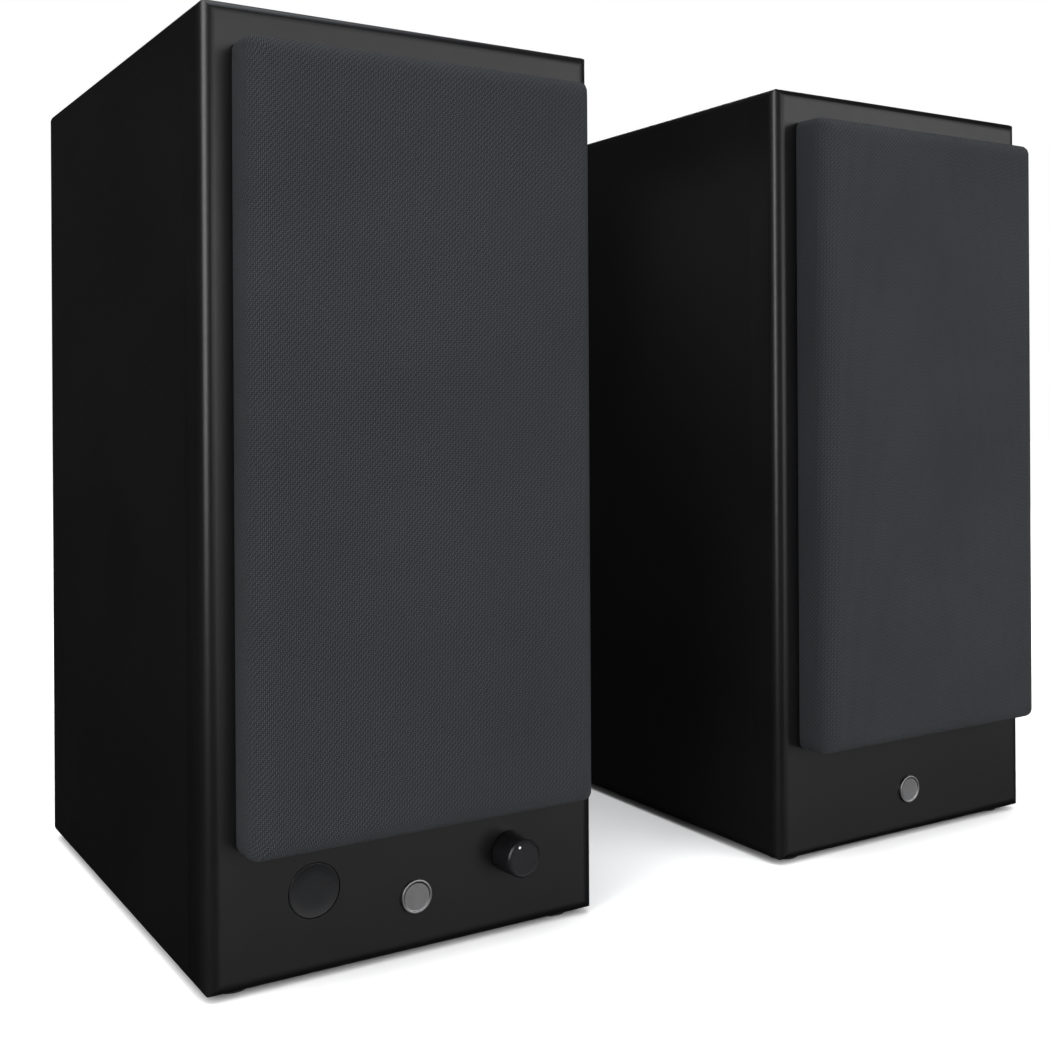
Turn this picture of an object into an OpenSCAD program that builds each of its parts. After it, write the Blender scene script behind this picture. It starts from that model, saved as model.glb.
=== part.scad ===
// A pair of powered two-way desktop speakers: an active cabinet with the amplifier and
// the front controls, and a passive cabinet that is wired to it.
// Front is -Y, up is +Z. The origin is on the floor, at the middle of the whole pair.

/* [Pair] */
// Distance between the centre lines of the two cabinets
pair_pitch = 268; // [200:1:600]
// Height of the rubber feet
foot_h = 2; // [1:0.5:8]
// Radius of a rubber foot
foot_r = 7; // [4:0.5:12]
// Distance of a foot's centre from the cabinet's sides
foot_inset = 14; // [13:1:30]

/* [Cabinet] */
// Width of a cabinet
cab_w = 166; // [164:1:260]
// Height of a cabinet, with its feet
cab_h = 355; // [350:1:520]
// Depth of a cabinet, without grille and sockets
cab_d = 227; // [215:1:340]
// Thickness of the side, top and bottom boards
side_t = 12; // [9:0.5:15]
// Thickness of the front board
baffle_t = 18; // [14:0.5:24]
// Thickness of the back board
back_t = 12; // [9:0.5:16]
// Rounding of the upright front edges
side_round = 6; // [2:0.5:10]
// Rounding of the level front edges
top_round = 5; // [1:0.5:8]
// Rounding of the long edges from front to back
edge_round = 4.5; // [1:0.5:6]
// Rounding of the rear edges
rear_round = 2; // [0.5:0.5:6]

/* [Grille] */
// Gap between the grille and the cabinet's sides
grille_margin = 11.5; // [7:0.5:14]
// Gap between the grille and the cabinet's top
grille_top_margin = 15; // [7:0.5:18]
// Height of the grille's lower edge above the floor
grille_low = 52.5; // [45:0.5:56]
// How far the grille stands proud of the front board
grille_d = 20; // [12:0.5:30]
// Gap between the grille and the front board
grille_gap = 0.5; // [0.3:0.1:2]
// Thickness of the cloth
cloth_t = 1.2; // [0.6:0.1:2]
// Rounding of the edges of the grille's front
grille_round = 8; // [4:0.5:10]
// Rounding of the corners of the grille's outline
grille_corner = 3; // [2:0.5:8]
// Width of the frame's bars under the cloth
frame_bar = 11; // [9:0.5:13]
// Width of the bar between the two drivers
cross_bar = 12; // [8:0.5:16]
// Radius of a grille peg
peg_r = 3; // [2:0.25:4]
// Length of a grille peg
peg_len = 8; // [6:0.5:12]
// Clearance round a peg in its cup
peg_fit = 0.05; // [0.02:0.01:0.1]
// Wall of a peg's rubber cup
cup_wall = 2; // [1:0.25:3]

/* [Woofer] */
// Height of the woofer's centre above the floor
woofer_h = 128; // [124:1:134]
// Radius of the woofer's flange
woofer_r = 68; // [64:0.5:70]
// Radius of the woofer's hole in the front board
woofer_hole_r = 58.5; // [58:0.5:60]
// Thickness of the flange
flange_t = 4; // [3:0.5:6]
// Outer radius of the surround's roll
roll_out_r = 52.5; // [50:0.5:54]
// Radius of the surround's roll in section
roll_r = 4.5; // [3:0.25:5.5]
// Travel of the cone each way
cone_travel = 4; // [1:0.5:5]
// How far the cone's lip lies behind the front board's face
cone_sink = 8; // [7.5:0.5:9]
// Depth of the cone from its lip to its neck
cone_depth = 19; // [14:0.5:21]
// Thickness of the cone and the dust cap
cone_t = 0.9; // [0.5:0.1:1.4]
// Radius of the dust cap's rim
cap_rim_r = 17.5; // [15:0.5:24]
// Outer radius of the voice coil former
former_r = 13.2; // [12:0.1:14]
// Radius of the ring magnet
magnet_r = 40; // [34:0.5:46]
// Thickness of the ring magnet
magnet_t = 16; // [10:0.5:20]

/* [Tweeter] */
// Distance of the tweeter's centre below the cabinet's top
tweeter_drop = 87; // [80:1:88]
// Radius of the tweeter's faceplate
tweeter_r = 48; // [44:0.5:50]
// Radius of the tweeter's hole in the front board
tweeter_hole_r = 36; // [35:0.5:38]
// Radius of the dome at its foot
dome_r = 12.5; // [11:0.5:14]
// Height of the dome
dome_h = 5; // [3:0.25:6.5]
// Travel of the dome each way
dome_travel = 0.3; // [0.1:0.05:0.3]

/* [Front controls] */
// Distance of the knob and the window from the centre line
control_x = 41.5; // [30:0.5:52]
// Height of the knob and the window above the floor
control_h = 33.5; // [31:0.5:36]
// Radius of the knob at its foot
knob_r = 8; // [7:0.25:12]
// Radius of the knob's front face
knob_face_r = 7.2; // [6:0.05:11]
// Length of the knob
knob_len = 11.5; // [11.5:0.5:20]
// Gap between the knob and the front board
knob_gap = 0.8; // [0.4:0.1:2]
// Turn of the knob's dot from straight up
dot_turn = 24; // [0:1:90]
// Radius of the control's shaft
shaft_r = 3; // [2.5:0.25:3.5]
// Running clearance round the shaft
shaft_fit = 0.05; // [0.02:0.01:0.1]
// Radius of the round window
window_r = 10.15; // [9:0.05:13]
// Clearance round the window
window_fit = 0.1; // [0.05:0.05:0.3]
// Thickness of the window
window_t = 2.2; // [1.5:0.1:4]
// Radius of the round badge
badge_r = 6.5; // [4:0.25:8]
// How far the badge stands proud
badge_t = 1.2; // [0.6:0.1:2]
// Height of the badge's centre above the floor
badge_h = 23.5; // [16:0.5:30]

/* [Port] */
// Distance of the port's centre below the cabinet's top
port_drop = 77; // [70:1:86]
// Inner radius of the port
port_r = 22; // [16:0.5:24]
// Wall of the port
port_wall = 2.5; // [1.5:0.5:4]
// Length of the port
port_len = 110; // [60:1:120]
// Rounding of the port's mouth
flare_r = 8; // [4:0.5:8.5]

/* [Amplifier panel] */
// Width of the amplifier's plate
plate_w = 128; // [126:1:138]
// Height of the amplifier's plate
plate_h = 188; // [180:1:196]
// Thickness of the amplifier's plate
plate_t = 2.5; // [2:0.5:4]
// Height of the plate's centre above the floor
plate_z = 125; // [120:1:132]
// Overlap of the plate on the back board
plate_lap = 8; // [7:0.5:10]
// Radius of a line socket's metal ring
line_r = 4.15; // [4:0.05:4.3]
// Radius of the mini jack's bore
jack_bore_r = 1.8; // [1.75:0.01:1.85]
// Tilt of the power rocker each way
rocker_tilt = 8; // [4:0.5:9]

/* [Speaker terminals] */
// Spacing of the two terminals of a pair
post_pitch = 22; // [19:0.5:26]
// Radius of a terminal's threaded post
post_r = 3; // [2.5:0.1:3.5]
// Radius of the plug bore in a post
plug_bore_r = 2; // [1.9:0.05:2.1]
// Radius of a terminal's cap
cap_r = 6.2; // [5.5:0.1:7.5]
// Length of a terminal's cap
cap_len = 12; // [8:0.5:14]
// Running clearance of a cap on its post
cap_fit = 0.05; // [0.02:0.01:0.1]
// Inner radius of the passive cabinet's terminal cup
cup_r = 34; // [30:0.5:38]
// Depth of the terminal cup
cup_depth = 18; // [16:0.5:24]
// Height of the cup's centre above the floor
cup_z = 100; // [80:1:160]

/* [Fasteners] */
// Radius of a screw's shank
screw_r = 1.75; // [1.5:0.05:2]
// Radius of a screw's head
screw_head_r = 3.3; // [2.8:0.1:3.6]
// Height of a screw's head
screw_head_h = 2; // [1.5:0.1:2.5]
// Length of a screw's shank
screw_len = 11; // [8:0.5:11]

/* [Hidden] */
$fn = 64;
e = 0.01;

// Colours of the materials
BLACK_PAINT = [0.05, 0.05, 0.055];
CLOTH = [0.16, 0.16, 0.17];
BLACK_PLASTIC = [0.08, 0.08, 0.09];
RUBBER = [0.1, 0.1, 0.1];
STEEL = [0.55, 0.56, 0.58];
FERRITE = [0.2, 0.2, 0.22];
COPPER = [0.75, 0.45, 0.25];
BOARD_GREEN = [0.1, 0.35, 0.2];
SMOKED = [0.12, 0.1, 0.1];
SILVER = [0.8, 0.8, 0.82];
WADDING = [0.85, 0.85, 0.82];
RED = [0.7, 0.1, 0.1];

// Places along Y, counted from the front board's face at y = 0
back_y = cab_d;
inner_back_y = cab_d - back_t;
// Places along Z, counted from the floor
inner_low = foot_h + side_t;
inner_high = cab_h - side_t;
inner_half = cab_w / 2 - side_t;
tweeter_h = cab_h - tweeter_drop;
port_h = cab_h - port_drop;

// Grille, derived
grille_w = cab_w - 2 * grille_margin;
grille_h = cab_h - grille_top_margin - grille_low;
peg_x = grille_w / 2 - cloth_t - frame_bar + peg_r + 1;
peg_z_low = grille_low + cloth_t + frame_bar - peg_r - 1;
peg_z_high = cab_h - grille_top_margin - cloth_t - frame_bar + peg_r + 1;
cup_out_r = peg_r + peg_fit + cup_wall;
cup_len = peg_len + 1.5;
cross_z = (woofer_h + woofer_r + tweeter_h - tweeter_r) / 2;
window_hole_z = 2.5;

// Woofer, derived: heights are forward of the front board's face; lip_z is the frame's ledge
lip_z = -3.2;
rim_t = 0.6;
rim_r = woofer_r - 10.5;
cone_lip_r = roll_out_r - 2 * roll_r - 0.6;
lip_w = 3;
neck_r = former_r + 0.1;
spider_z = -35;
spider_in_r = 37;
spider_out_r = 42.5;
basket_z = -49;
basket_floor_t = 2.5;
gap_in_r = former_r - 1;
gap_out_r = former_r + 1.2;
top_plate_t = 6;
yoke_t = 5;
yoke_r = magnet_r - 3;
screw_ring_r = woofer_r - 5.2;
flange_screws = 4;
screw_seat_z = -screw_head_h - 0.2;

// Tweeter, derived
face_t = 4;
throat_r = dome_r + 3.1;
guide_r = 26;
tweeter_ring_r = tweeter_r - 5.5;
motor_z = -5;
dome_gap = 0.3;
dome_foot_z = motor_z + dome_travel + dome_gap;
motor_r = 30;

// Front controls, derived
pot_pocket = 10;
pot_pocket_r = 13;
nut_pocket = 3;
nut_pocket_r = 6.6;
bush_r = shaft_r + 0.9;
bush_fit = 0.1;

// Port, derived
mouth_r = port_r + flare_r + 1;
port_lip_r = mouth_r + 2;
port_lip_t = 2;

// Rear, derived
collar_t = 1.5;
collar_r = 7;
cap_gap = 0.3;
post_tip = 0.7;
plug_depth = 12;
rear_reach = plate_t + collar_t + cap_gap + cap_len + post_tip;
cup_flange_r = cup_r + 8;
cup_wall_t = 2.5;
cup_floor_z = -cup_depth;
plate_posts = [24, -8];
plate_inlet = [-30, -70];
plate_rocker = [14, -70];
plate_lines = [[-42, 62], [-24, 62], [36, 62]];
plate_jack = [6, 62];
inlet_cut = [21, 13];
rocker_cut = [13.2, 19.2];
pivot_z = -2;
pivot_r = 1.2;
pivot_fit = 0.05;
plate_screw_x = plate_w / 2 - plate_lap / 2;
plate_screw_y = plate_h / 2 - plate_lap / 2;
plate_screw_at = [for (x = [-1, 0, 1], y = [-1, 0, 1]) if (x != 0 || y != 0)
                  [x * plate_screw_x, y * plate_screw_y]];
cup_screw_at = [for (a = [45:90:315]) [(cup_r + 5) * cos(a), (cup_r + 5) * sin(a)]];

// The pair is centred on the origin from the grilles' faces to the tips of the posts
front_y = (grille_d - cab_d - rear_reach) / 2;

// ---- placing ----

module on_active() { translate([-pair_pitch / 2, front_y, 0]) children(); }
module on_passive() { translate([pair_pitch / 2, front_y, 0]) children(); }
module on_both() {
    on_active() children();
    on_passive() children();
}
// Local +Z looks out of the front board at height h
module out_of_front(x, h) { translate([x, 0, h]) rotate([90, 0, 0]) children(); }
// Local +Z looks out of the back board at height h, local +X to the right from behind
module out_of_back(h) { translate([0, back_y, h]) rotate([90, 0, 180]) children(); }

// ---- shared shapes ----

// Rectangle centred on X from y = 0 to y = h, with its four corners rounded
module soft_rect(w, h, r) {
    translate([-w / 2 + r, 0]) square([w - 2 * r, h]);
    translate([-w / 2, r]) square([w, h - 2 * r]);
    for (x = [-w / 2 + r, w / 2 - r], y = [r, h - r]) translate([x, y]) circle(r);
}

// Rectangle centred on the origin, with its four corners rounded
module soft_plate(w, h, r) { translate([0, -h / 2]) soft_rect(w, h, r); }

// Rectangle from y = 0 to y = d, with its two corners at y = 0 rounded
module front_eased(w, d, r) {
    translate([-w / 2, r]) square([w, d - r]);
    translate([-w / 2 + r, 0]) square([w - 2 * r, d]);
    for (x = [-w / 2 + r, w / 2 - r]) translate([x, r]) circle(r);
}

// Block from y = 0 back to y = d and from z = 0 to z = h; the upright edges of its front
// have radius r_side, the level ones r_top
module eased_block(w, h, d, r_side, r_top) {
    intersection() {
        linear_extrude(h) front_eased(w, d, r_side);
        translate([0, 0, h / 2]) rotate([0, 90, 0]) translate([0, 0, -w / 2 - 1])
            linear_extrude(w + 2) front_eased(h, d, r_top);
    }
}

// Eased block whose four long edges, from front to back, have radius r_edge
module soft_block(w, h, d, r_side, r_top, r_edge) {
    intersection() {
        eased_block(w, h, d, r_side, r_top);
        translate([0, d + 1, 0]) rotate([90, 0, 0]) linear_extrude(d + 2) soft_rect(w, h, r_edge);
    }
}

module ring(r_out, r_in, z_low, z_high) {
    translate([0, 0, z_low]) difference() {
        cylinder(r = r_out, h = z_high - z_low);
        translate([0, 0, -1]) cylinder(r = r_in, h = z_high - z_low + 2);
    }
}

// Pan-headed screw with a socket in its head; the head's underside is at z = 0
module screw(drive_r = 1.6) {
    difference() {
        union() {
            cylinder(r = screw_head_r, h = screw_head_h);
            translate([0, 0, -screw_len]) cylinder(r = screw_r, h = screw_len + e);
        }
        translate([0, 0, screw_head_h - 1.2]) cylinder(r = drive_r, h = 2, $fn = 6);
    }
}

// ---- cabinet ----

module cabinet_sleeve() {
    h = cab_h - foot_h;
    d = cab_d - baffle_t;
    translate([0, cab_d, foot_h]) difference() {
        mirror([0, 1, 0]) soft_block(cab_w, h, d, rear_round, rear_round, edge_round);
        translate([-inner_half, -d - 1, side_t]) cube([2 * inner_half, d + 2, h - 2 * side_t]);
    }
}

module front_board(with_controls) {
    difference() {
        translate([0, 0, foot_h])
            soft_block(cab_w, cab_h - foot_h, baffle_t, side_round, top_round, edge_round);
        out_of_front(0, woofer_h) driver_cut(woofer_r, flange_t, woofer_hole_r, screw_ring_r);
        out_of_front(0, tweeter_h) driver_cut(tweeter_r, face_t, tweeter_hole_r, tweeter_ring_r);
        at_pegs() translate([0, 0, -cup_len]) cylinder(r = cup_out_r, h = cup_len + 1);
        if (with_controls) front_control_cuts();
    }
}

// Rebate, hole and screw holes for a driver
module driver_cut(r, t, hole_r, ring_r) {
    translate([0, 0, -t]) cylinder(r = r + 0.3, h = t + 1);
    translate([0, 0, -baffle_t - 1]) cylinder(r = hole_r, h = baffle_t + 2);
    at_flange_screws(ring_r) translate([0, 0, screw_seat_z - screw_len])
        cylinder(r = screw_r, h = screw_len);
}

module at_flange_screws(ring_r) {
    for (i = [0:flange_screws - 1]) rotate([0, 0, 45 + i * 360 / flange_screws])
        translate([ring_r, 0, 0]) children();
}

module front_control_cuts() {
    out_of_front(control_x, control_h) {
        translate([0, 0, -baffle_t - 1]) cylinder(r = bush_r + bush_fit, h = baffle_t + 2);
        translate([0, 0, -baffle_t - 1]) cylinder(r = pot_pocket_r, h = pot_pocket + 1);
        translate([0, 0, -nut_pocket]) cylinder(r = nut_pocket_r, h = nut_pocket + 1);
    }
    out_of_front(-control_x, control_h) {
        translate([0, 0, -window_hole_z]) cylinder(r = window_r + window_fit, h = window_hole_z + 1);
        translate([0, 0, -baffle_t - 1]) cylinder(r = window_r - 2.6, h = baffle_t + 2);
    }
}

module back_board() {
    difference() {
        translate([-inner_half, inner_back_y, inner_low])
            cube([2 * inner_half, back_t, inner_high - inner_low]);
        out_of_back(port_h) {
            translate([0, 0, -back_t - 1]) cylinder(r = port_r + port_wall, h = back_t + 2);
            translate([0, 0, -flare_r]) cylinder(r = mouth_r, h = flare_r + 1);
            translate([0, 0, -port_lip_t]) cylinder(r = port_lip_r, h = port_lip_t + 1);
        }
        children();
    }
}

module active_cabinet() { color(BLACK_PAINT) on_active() cabinet_sleeve(); }
module passive_cabinet() { color(BLACK_PAINT) on_passive() cabinet_sleeve(); }
module active_baffle() { color(BLACK_PAINT) on_active() front_board(true); }
module passive_baffle() { color(BLACK_PAINT) on_passive() front_board(false); }

module active_back_panel() {
    color(BLACK_PAINT) on_active() back_board() out_of_back(plate_z) {
        translate([0, 0, -back_t - 1]) linear_extrude(back_t + 2)
            soft_plate(plate_w - 2 * plate_lap, plate_h - 2 * plate_lap, 4);
        for (p = plate_screw_at) translate([p[0], p[1], plate_t - screw_len])
            cylinder(r = screw_r, h = screw_len);
    }
}

module passive_back_panel() {
    color(BLACK_PAINT) on_passive() back_board() out_of_back(cup_z) {
        translate([0, 0, -back_t - 1]) cylinder(r = cup_r + cup_wall_t + 0.2, h = back_t + 2);
        for (p = cup_screw_at) translate([p[0], p[1], cup_wall_t - screw_len])
            cylinder(r = screw_r, h = screw_len);
    }
}

module feet() {
    color(RUBBER) on_both()
        for (x = [-cab_w / 2 + foot_inset, cab_w / 2 - foot_inset], y = [foot_inset, cab_d - foot_inset])
            translate([x, y, 0]) cylinder(r = foot_r, h = foot_h);
}

// ---- grille ----

module at_pegs() {
    for (x = [-peg_x, peg_x], z = [peg_z_low, peg_z_high]) out_of_front(x, z) children();
}

module grille_frame() {
    w = grille_w - 2 * cloth_t;
    h = grille_h - 2 * cloth_t;
    d = grille_d - cloth_t - grille_gap;
    low = grille_low + cloth_t;
    top = low + h;
    open_w = w - 2 * frame_bar;
    low_open = cross_z - cross_bar / 2 - low - frame_bar;
    top_open = top - frame_bar - cross_z - cross_bar / 2;
    difference() {
        translate([0, -grille_gap - d, low])
            soft_block(w, h, d, grille_round - cloth_t, grille_round - cloth_t, grille_corner - cloth_t);
        translate([0, 0, low + frame_bar]) frame_window(open_w, low_open);
        translate([0, 0, cross_z + cross_bar / 2]) frame_window(open_w, top_open);
    }
    at_pegs() translate([0, 0, -peg_len]) cylinder(r = peg_r, h = peg_len + grille_gap + 1);
}

module frame_window(w, h) {
    rotate([90, 0, 0]) translate([0, 0, -1]) linear_extrude(grille_d + 2) soft_rect(w, h, 5);
}

module grille_cloth() {
    d = grille_d - grille_gap;
    translate([0, -grille_d, grille_low]) difference() {
        soft_block(grille_w, grille_h, d, grille_round, grille_round, grille_corner);
        translate([0, cloth_t, cloth_t])
            soft_block(grille_w - 2 * cloth_t, grille_h - 2 * cloth_t, d,
                       grille_round - cloth_t, grille_round - cloth_t, grille_corner - cloth_t);
    }
}

module active_grille_frame() { color(BLACK_PLASTIC) on_active() grille_frame(); }
module passive_grille_frame() { color(BLACK_PLASTIC) on_passive() grille_frame(); }
module active_grille_cloth() { color(CLOTH) on_active() grille_cloth(); }
module passive_grille_cloth() { color(CLOTH) on_passive() grille_cloth(); }

module grille_cups() {
    color(RUBBER) on_both() at_pegs() difference() {
        translate([0, 0, -cup_len]) cylinder(r = cup_out_r, h = cup_len);
        translate([0, 0, -peg_len - 0.5]) cylinder(r = peg_r + peg_fit, h = peg_len + 1);
    }
}

// ---- woofer ----

// Height of the cone's front surface at radius r
function cone_z(r) =
    -cone_sink - cone_depth * pow((cone_lip_r - lip_w - r) / (cone_lip_r - lip_w - neck_r), 1.2);

module woofer_frame() {
    out_of_front(0, woofer_h) difference() {
        rotate_extrude() polygon([[rim_r, 0], [woofer_r, 0], [woofer_r, -flange_t],
            [rim_r + 0.1, -flange_t], [magnet_r, basket_z + basket_floor_t], [magnet_r, basket_z],
            [gap_out_r + 3.6, basket_z], [gap_out_r + 3.6, basket_z + basket_floor_t],
            [spider_in_r, basket_z + basket_floor_t], [spider_in_r, spider_z],
            [spider_out_r, spider_z], [roll_out_r - 0.5, -7], [roll_out_r - 0.5, lip_z], [rim_r, lip_z]]);
        for (i = [0:5]) rotate([0, 0, i * 60]) translate([30, -11, -31]) cube([40, 22, 20]);
        at_flange_screws(screw_ring_r) flange_screw_hole();
    }
}

module flange_screw_hole() {
    translate([0, 0, -flange_t - 1]) cylinder(r = screw_r + 0.2, h = flange_t + 2);
    translate([0, 0, screw_seat_z]) cylinder(r = screw_head_r + 0.2, h = 4);
}

module woofer_cone() {
    steps = 8;
    span = cone_lip_r - lip_w - neck_r;
    front = [for (i = [0:steps]) let (r = cone_lip_r - lip_w - span * i / steps) [r, cone_z(r)]];
    back = [for (i = [0:steps]) let (p = front[steps - i]) [p[0], p[1] - cone_t]];
    out_of_front(0, woofer_h) rotate_extrude()
        polygon(concat([[cone_lip_r, -cone_sink]], front, back, [[cone_lip_r, -cone_sink - cone_t]]));
}

// Part of a sphere whose rim has radius r and whose crown stands h above z = 0
module crown(r, h) {
    big = (r * r + h * h) / (2 * h);
    intersection() {
        translate([0, 0, h - big]) sphere(big);
        cylinder(r = r, h = h + 1);
    }
}

module woofer_dust_cap() {
    crown_h = 6.5;
    out_of_front(0, woofer_h) translate([0, 0, cone_z(cap_rim_r)]) difference() {
        crown(cap_rim_r, crown_h);
        translate([0, 0, -e]) crown(cap_rim_r - cone_t, crown_h - cone_t);
    }
}

// Half roll on the frame's ledge, with a skirt down to the cone's lip
module woofer_surround() {
    roll_mid_r = roll_out_r - roll_r;
    skirt_z = -cone_sink - lip_z;
    out_of_front(0, woofer_h) rotate_extrude() translate([0, lip_z]) {
        translate([roll_out_r - rim_t, 0]) square([rim_r - 0.3 - roll_out_r + rim_t, rim_t]);
        translate([roll_mid_r - roll_r, skirt_z]) square([rim_t, e - skirt_z]);
        translate([cone_lip_r - lip_w, skirt_z]) square([lip_w + 0.6 + rim_t, rim_t]);
        difference() {
            translate([roll_mid_r, 0]) circle(roll_r);
            translate([roll_mid_r, 0]) circle(roll_r - rim_t);
            translate([roll_mid_r - roll_r - 1, -roll_r - 1]) square([2 * roll_r + 2, roll_r + 1]);
        }
    }
}

module woofer_spider() {
    steps = 48;
    waves = 5;
    swing = 1.4;
    thick = 0.5;
    in_r = former_r + 3;
    out_r = spider_in_r - 0.6;
    mid = spider_z + thick;
    line = [for (i = [0:steps]) let (t = i / steps)
            [in_r + (out_r - in_r) * t, mid + swing * sin(360 * waves * t)]];
    upper = [for (p = line) [p[0], p[1] + thick / 2]];
    lower = [for (i = [0:steps]) let (p = line[steps - i]) [p[0], p[1] - thick / 2]];
    out_of_front(0, woofer_h) rotate_extrude() polygon(concat(
        [[spider_out_r - 0.4, spider_z], [spider_out_r - 0.4, spider_z + thick]],
        [for (i = [0:steps]) upper[steps - i]],
        [[former_r, mid + thick / 2], [former_r, mid - thick / 2]],
        [for (i = [0:steps]) lower[steps - i]]));
}

module woofer_coil() {
    former_t = 0.4;
    coil_t = 0.7;
    coil_len = 10;
    foot_z = basket_z - top_plate_t - cone_travel;
    out_of_front(0, woofer_h) rotate_extrude() {
        translate([former_r - former_t, foot_z]) square([former_t, cone_z(neck_r) - foot_z]);
        translate([former_r - e, foot_z]) square([coil_t + e, coil_len]);
    }
}

module woofer_magnet() {
    out_of_front(0, woofer_h)
        ring(magnet_r, gap_out_r + 6, basket_z - top_plate_t - magnet_t, basket_z - top_plate_t);
}

module woofer_pole_pieces() {
    plate_z_low = basket_z - top_plate_t;
    yoke_z = plate_z_low - magnet_t;
    out_of_front(0, woofer_h) {
        ring(yoke_r, gap_out_r, plate_z_low, basket_z);
        translate([0, 0, yoke_z - yoke_t]) cylinder(r = yoke_r, h = yoke_t);
        translate([0, 0, yoke_z - e]) cylinder(r = gap_in_r, h = basket_z - yoke_z);
    }
}

module active_woofer_frame() { color(STEEL) on_active() woofer_frame(); }
module active_woofer_cone() { color(CLOTH) on_active() woofer_cone(); }
module active_woofer_dust_cap() { color(CLOTH) on_active() woofer_dust_cap(); }
module active_woofer_surround() { color(RUBBER) on_active() woofer_surround(); }
module active_woofer_spider() { color(COPPER) on_active() woofer_spider(); }
module active_woofer_coil() { color(COPPER) on_active() woofer_coil(); }
module active_woofer_magnet() { color(FERRITE) on_active() woofer_magnet(); }
module active_woofer_pole_pieces() { color(STEEL) on_active() woofer_pole_pieces(); }
module passive_woofer_frame() { color(STEEL) on_passive() woofer_frame(); }
module passive_woofer_cone() { color(CLOTH) on_passive() woofer_cone(); }
module passive_woofer_dust_cap() { color(CLOTH) on_passive() woofer_dust_cap(); }
module passive_woofer_surround() { color(RUBBER) on_passive() woofer_surround(); }
module passive_woofer_spider() { color(COPPER) on_passive() woofer_spider(); }
module passive_woofer_coil() { color(COPPER) on_passive() woofer_coil(); }
module passive_woofer_magnet() { color(FERRITE) on_passive() woofer_magnet(); }
module passive_woofer_pole_pieces() { color(STEEL) on_passive() woofer_pole_pieces(); }

// ---- tweeter ----

module tweeter_faceplate() {
    out_of_front(0, tweeter_h) difference() {
        rotate_extrude() polygon([[guide_r, 0], [tweeter_r, 0], [tweeter_r, -face_t],
            [throat_r, -face_t], [throat_r, -face_t + 0.8]]);
        at_flange_screws(tweeter_ring_r) flange_screw_hole();
    }
}

// Soft dome with its small roll and its voice coil, which move as one
module tweeter_dome() {
    fabric_t = 0.3;
    roll_mid = dome_r + 1.3;
    out_of_front(0, tweeter_h) translate([0, 0, dome_foot_z]) {
        difference() {
            crown(dome_r, dome_h);
            translate([0, 0, -e]) crown(dome_r - fabric_t, dome_h - fabric_t);
        }
        rotate_extrude() {
            difference() {
                translate([roll_mid, 0]) circle(1.4);
                translate([roll_mid, 0]) circle(1.4 - fabric_t);
                translate([dome_r - 1, -2]) square([5, 2]);
            }
            translate([dome_r - 0.25, -4]) square([0.25, 4 + fabric_t]);
            translate([dome_r - e, -4]) square([0.4 + e, 3]);
        }
    }
}

module tweeter_motor() {
    plate_t_low = motor_z - 4;
    magnet_low = plate_t_low - 10;
    out_of_front(0, tweeter_h) {
        ring(motor_r + 3, dome_r + 0.9, plate_t_low, motor_z);
        ring(motor_r + 3, dome_r + 5, magnet_low, plate_t_low);
        translate([0, 0, magnet_low - 4]) cylinder(r = motor_r, h = 4);
        translate([0, 0, magnet_low - e]) cylinder(r = dome_r - 0.6, h = motor_z - magnet_low);
        ring(motor_r + 3, motor_r - 2, motor_z - e, -face_t);
    }
}

module active_tweeter_faceplate() { color(BLACK_PLASTIC) on_active() tweeter_faceplate(); }
module active_tweeter_dome() { color(CLOTH) on_active() tweeter_dome(); }
module active_tweeter_motor() { color(STEEL) on_active() tweeter_motor(); }
module passive_tweeter_faceplate() { color(BLACK_PLASTIC) on_passive() tweeter_faceplate(); }
module passive_tweeter_dome() { color(CLOTH) on_passive() tweeter_dome(); }
module passive_tweeter_motor() { color(STEEL) on_passive() tweeter_motor(); }

// Screws of the drivers' flanges
module driver_screws() {
    color(STEEL) on_both() {
        out_of_front(0, woofer_h) at_flange_screws(screw_ring_r) translate([0, 0, screw_seat_z]) screw();
        out_of_front(0, tweeter_h) at_flange_screws(tweeter_ring_r) translate([0, 0, screw_seat_z]) screw();
    }
}

// ---- port, crossover, wadding ----

// Tube with a rounded mouth, let into the back board up to its lip
module port_tube() {
    out_of_back(port_h) rotate_extrude() difference() {
        union() {
            translate([port_r, -port_len]) square([port_wall, port_len]);
            translate([port_r, -flare_r]) square([mouth_r - port_r, flare_r]);
            translate([port_r, -port_lip_t]) square([port_lip_r - port_r, port_lip_t]);
        }
        difference() {
            translate([port_r - 1, -flare_r]) square([flare_r + 1, flare_r + 1]);
            translate([port_r + flare_r, -flare_r]) circle(flare_r);
        }
    }
}

module active_port_tube() { color(BLACK_PLASTIC) on_active() port_tube(); }
module passive_port_tube() { color(BLACK_PLASTIC) on_passive() port_tube(); }

// Crossover board on the left side board, with coils, capacitors and a resistor
module crossover() {
    board = [1.6, 56, 80];
    stand = 4;
    translate([-inner_half, 120, 120]) {
        for (y = [5, board[1] - 5], z = [5, board[2] - 5])
            translate([0, y, z]) rotate([0, 90, 0]) cylinder(r = 2.5, h = stand + e);
        translate([stand, 0, 0]) cube(board);
        translate([stand + board[0] - e, 0, 0]) {
            translate([0, 17, 60]) rotate([0, 90, 0]) ring(13, 6, 0, 14);
            translate([0, 40, 22]) rotate([0, 90, 0]) ring(11, 5, 0, 12);
            translate([0, 44, 60]) rotate([0, 90, 0]) cylinder(r = 7, h = 20);
            translate([0, 12, 14]) rotate([0, 90, 0]) cylinder(r = 6, h = 16);
            translate([0, 6, 32]) cube([8, 22, 9]);
        }
    }
}

module active_crossover() { color(BOARD_GREEN) on_active() crossover(); }
module passive_crossover() { color(BOARD_GREEN) on_passive() crossover(); }

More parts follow.
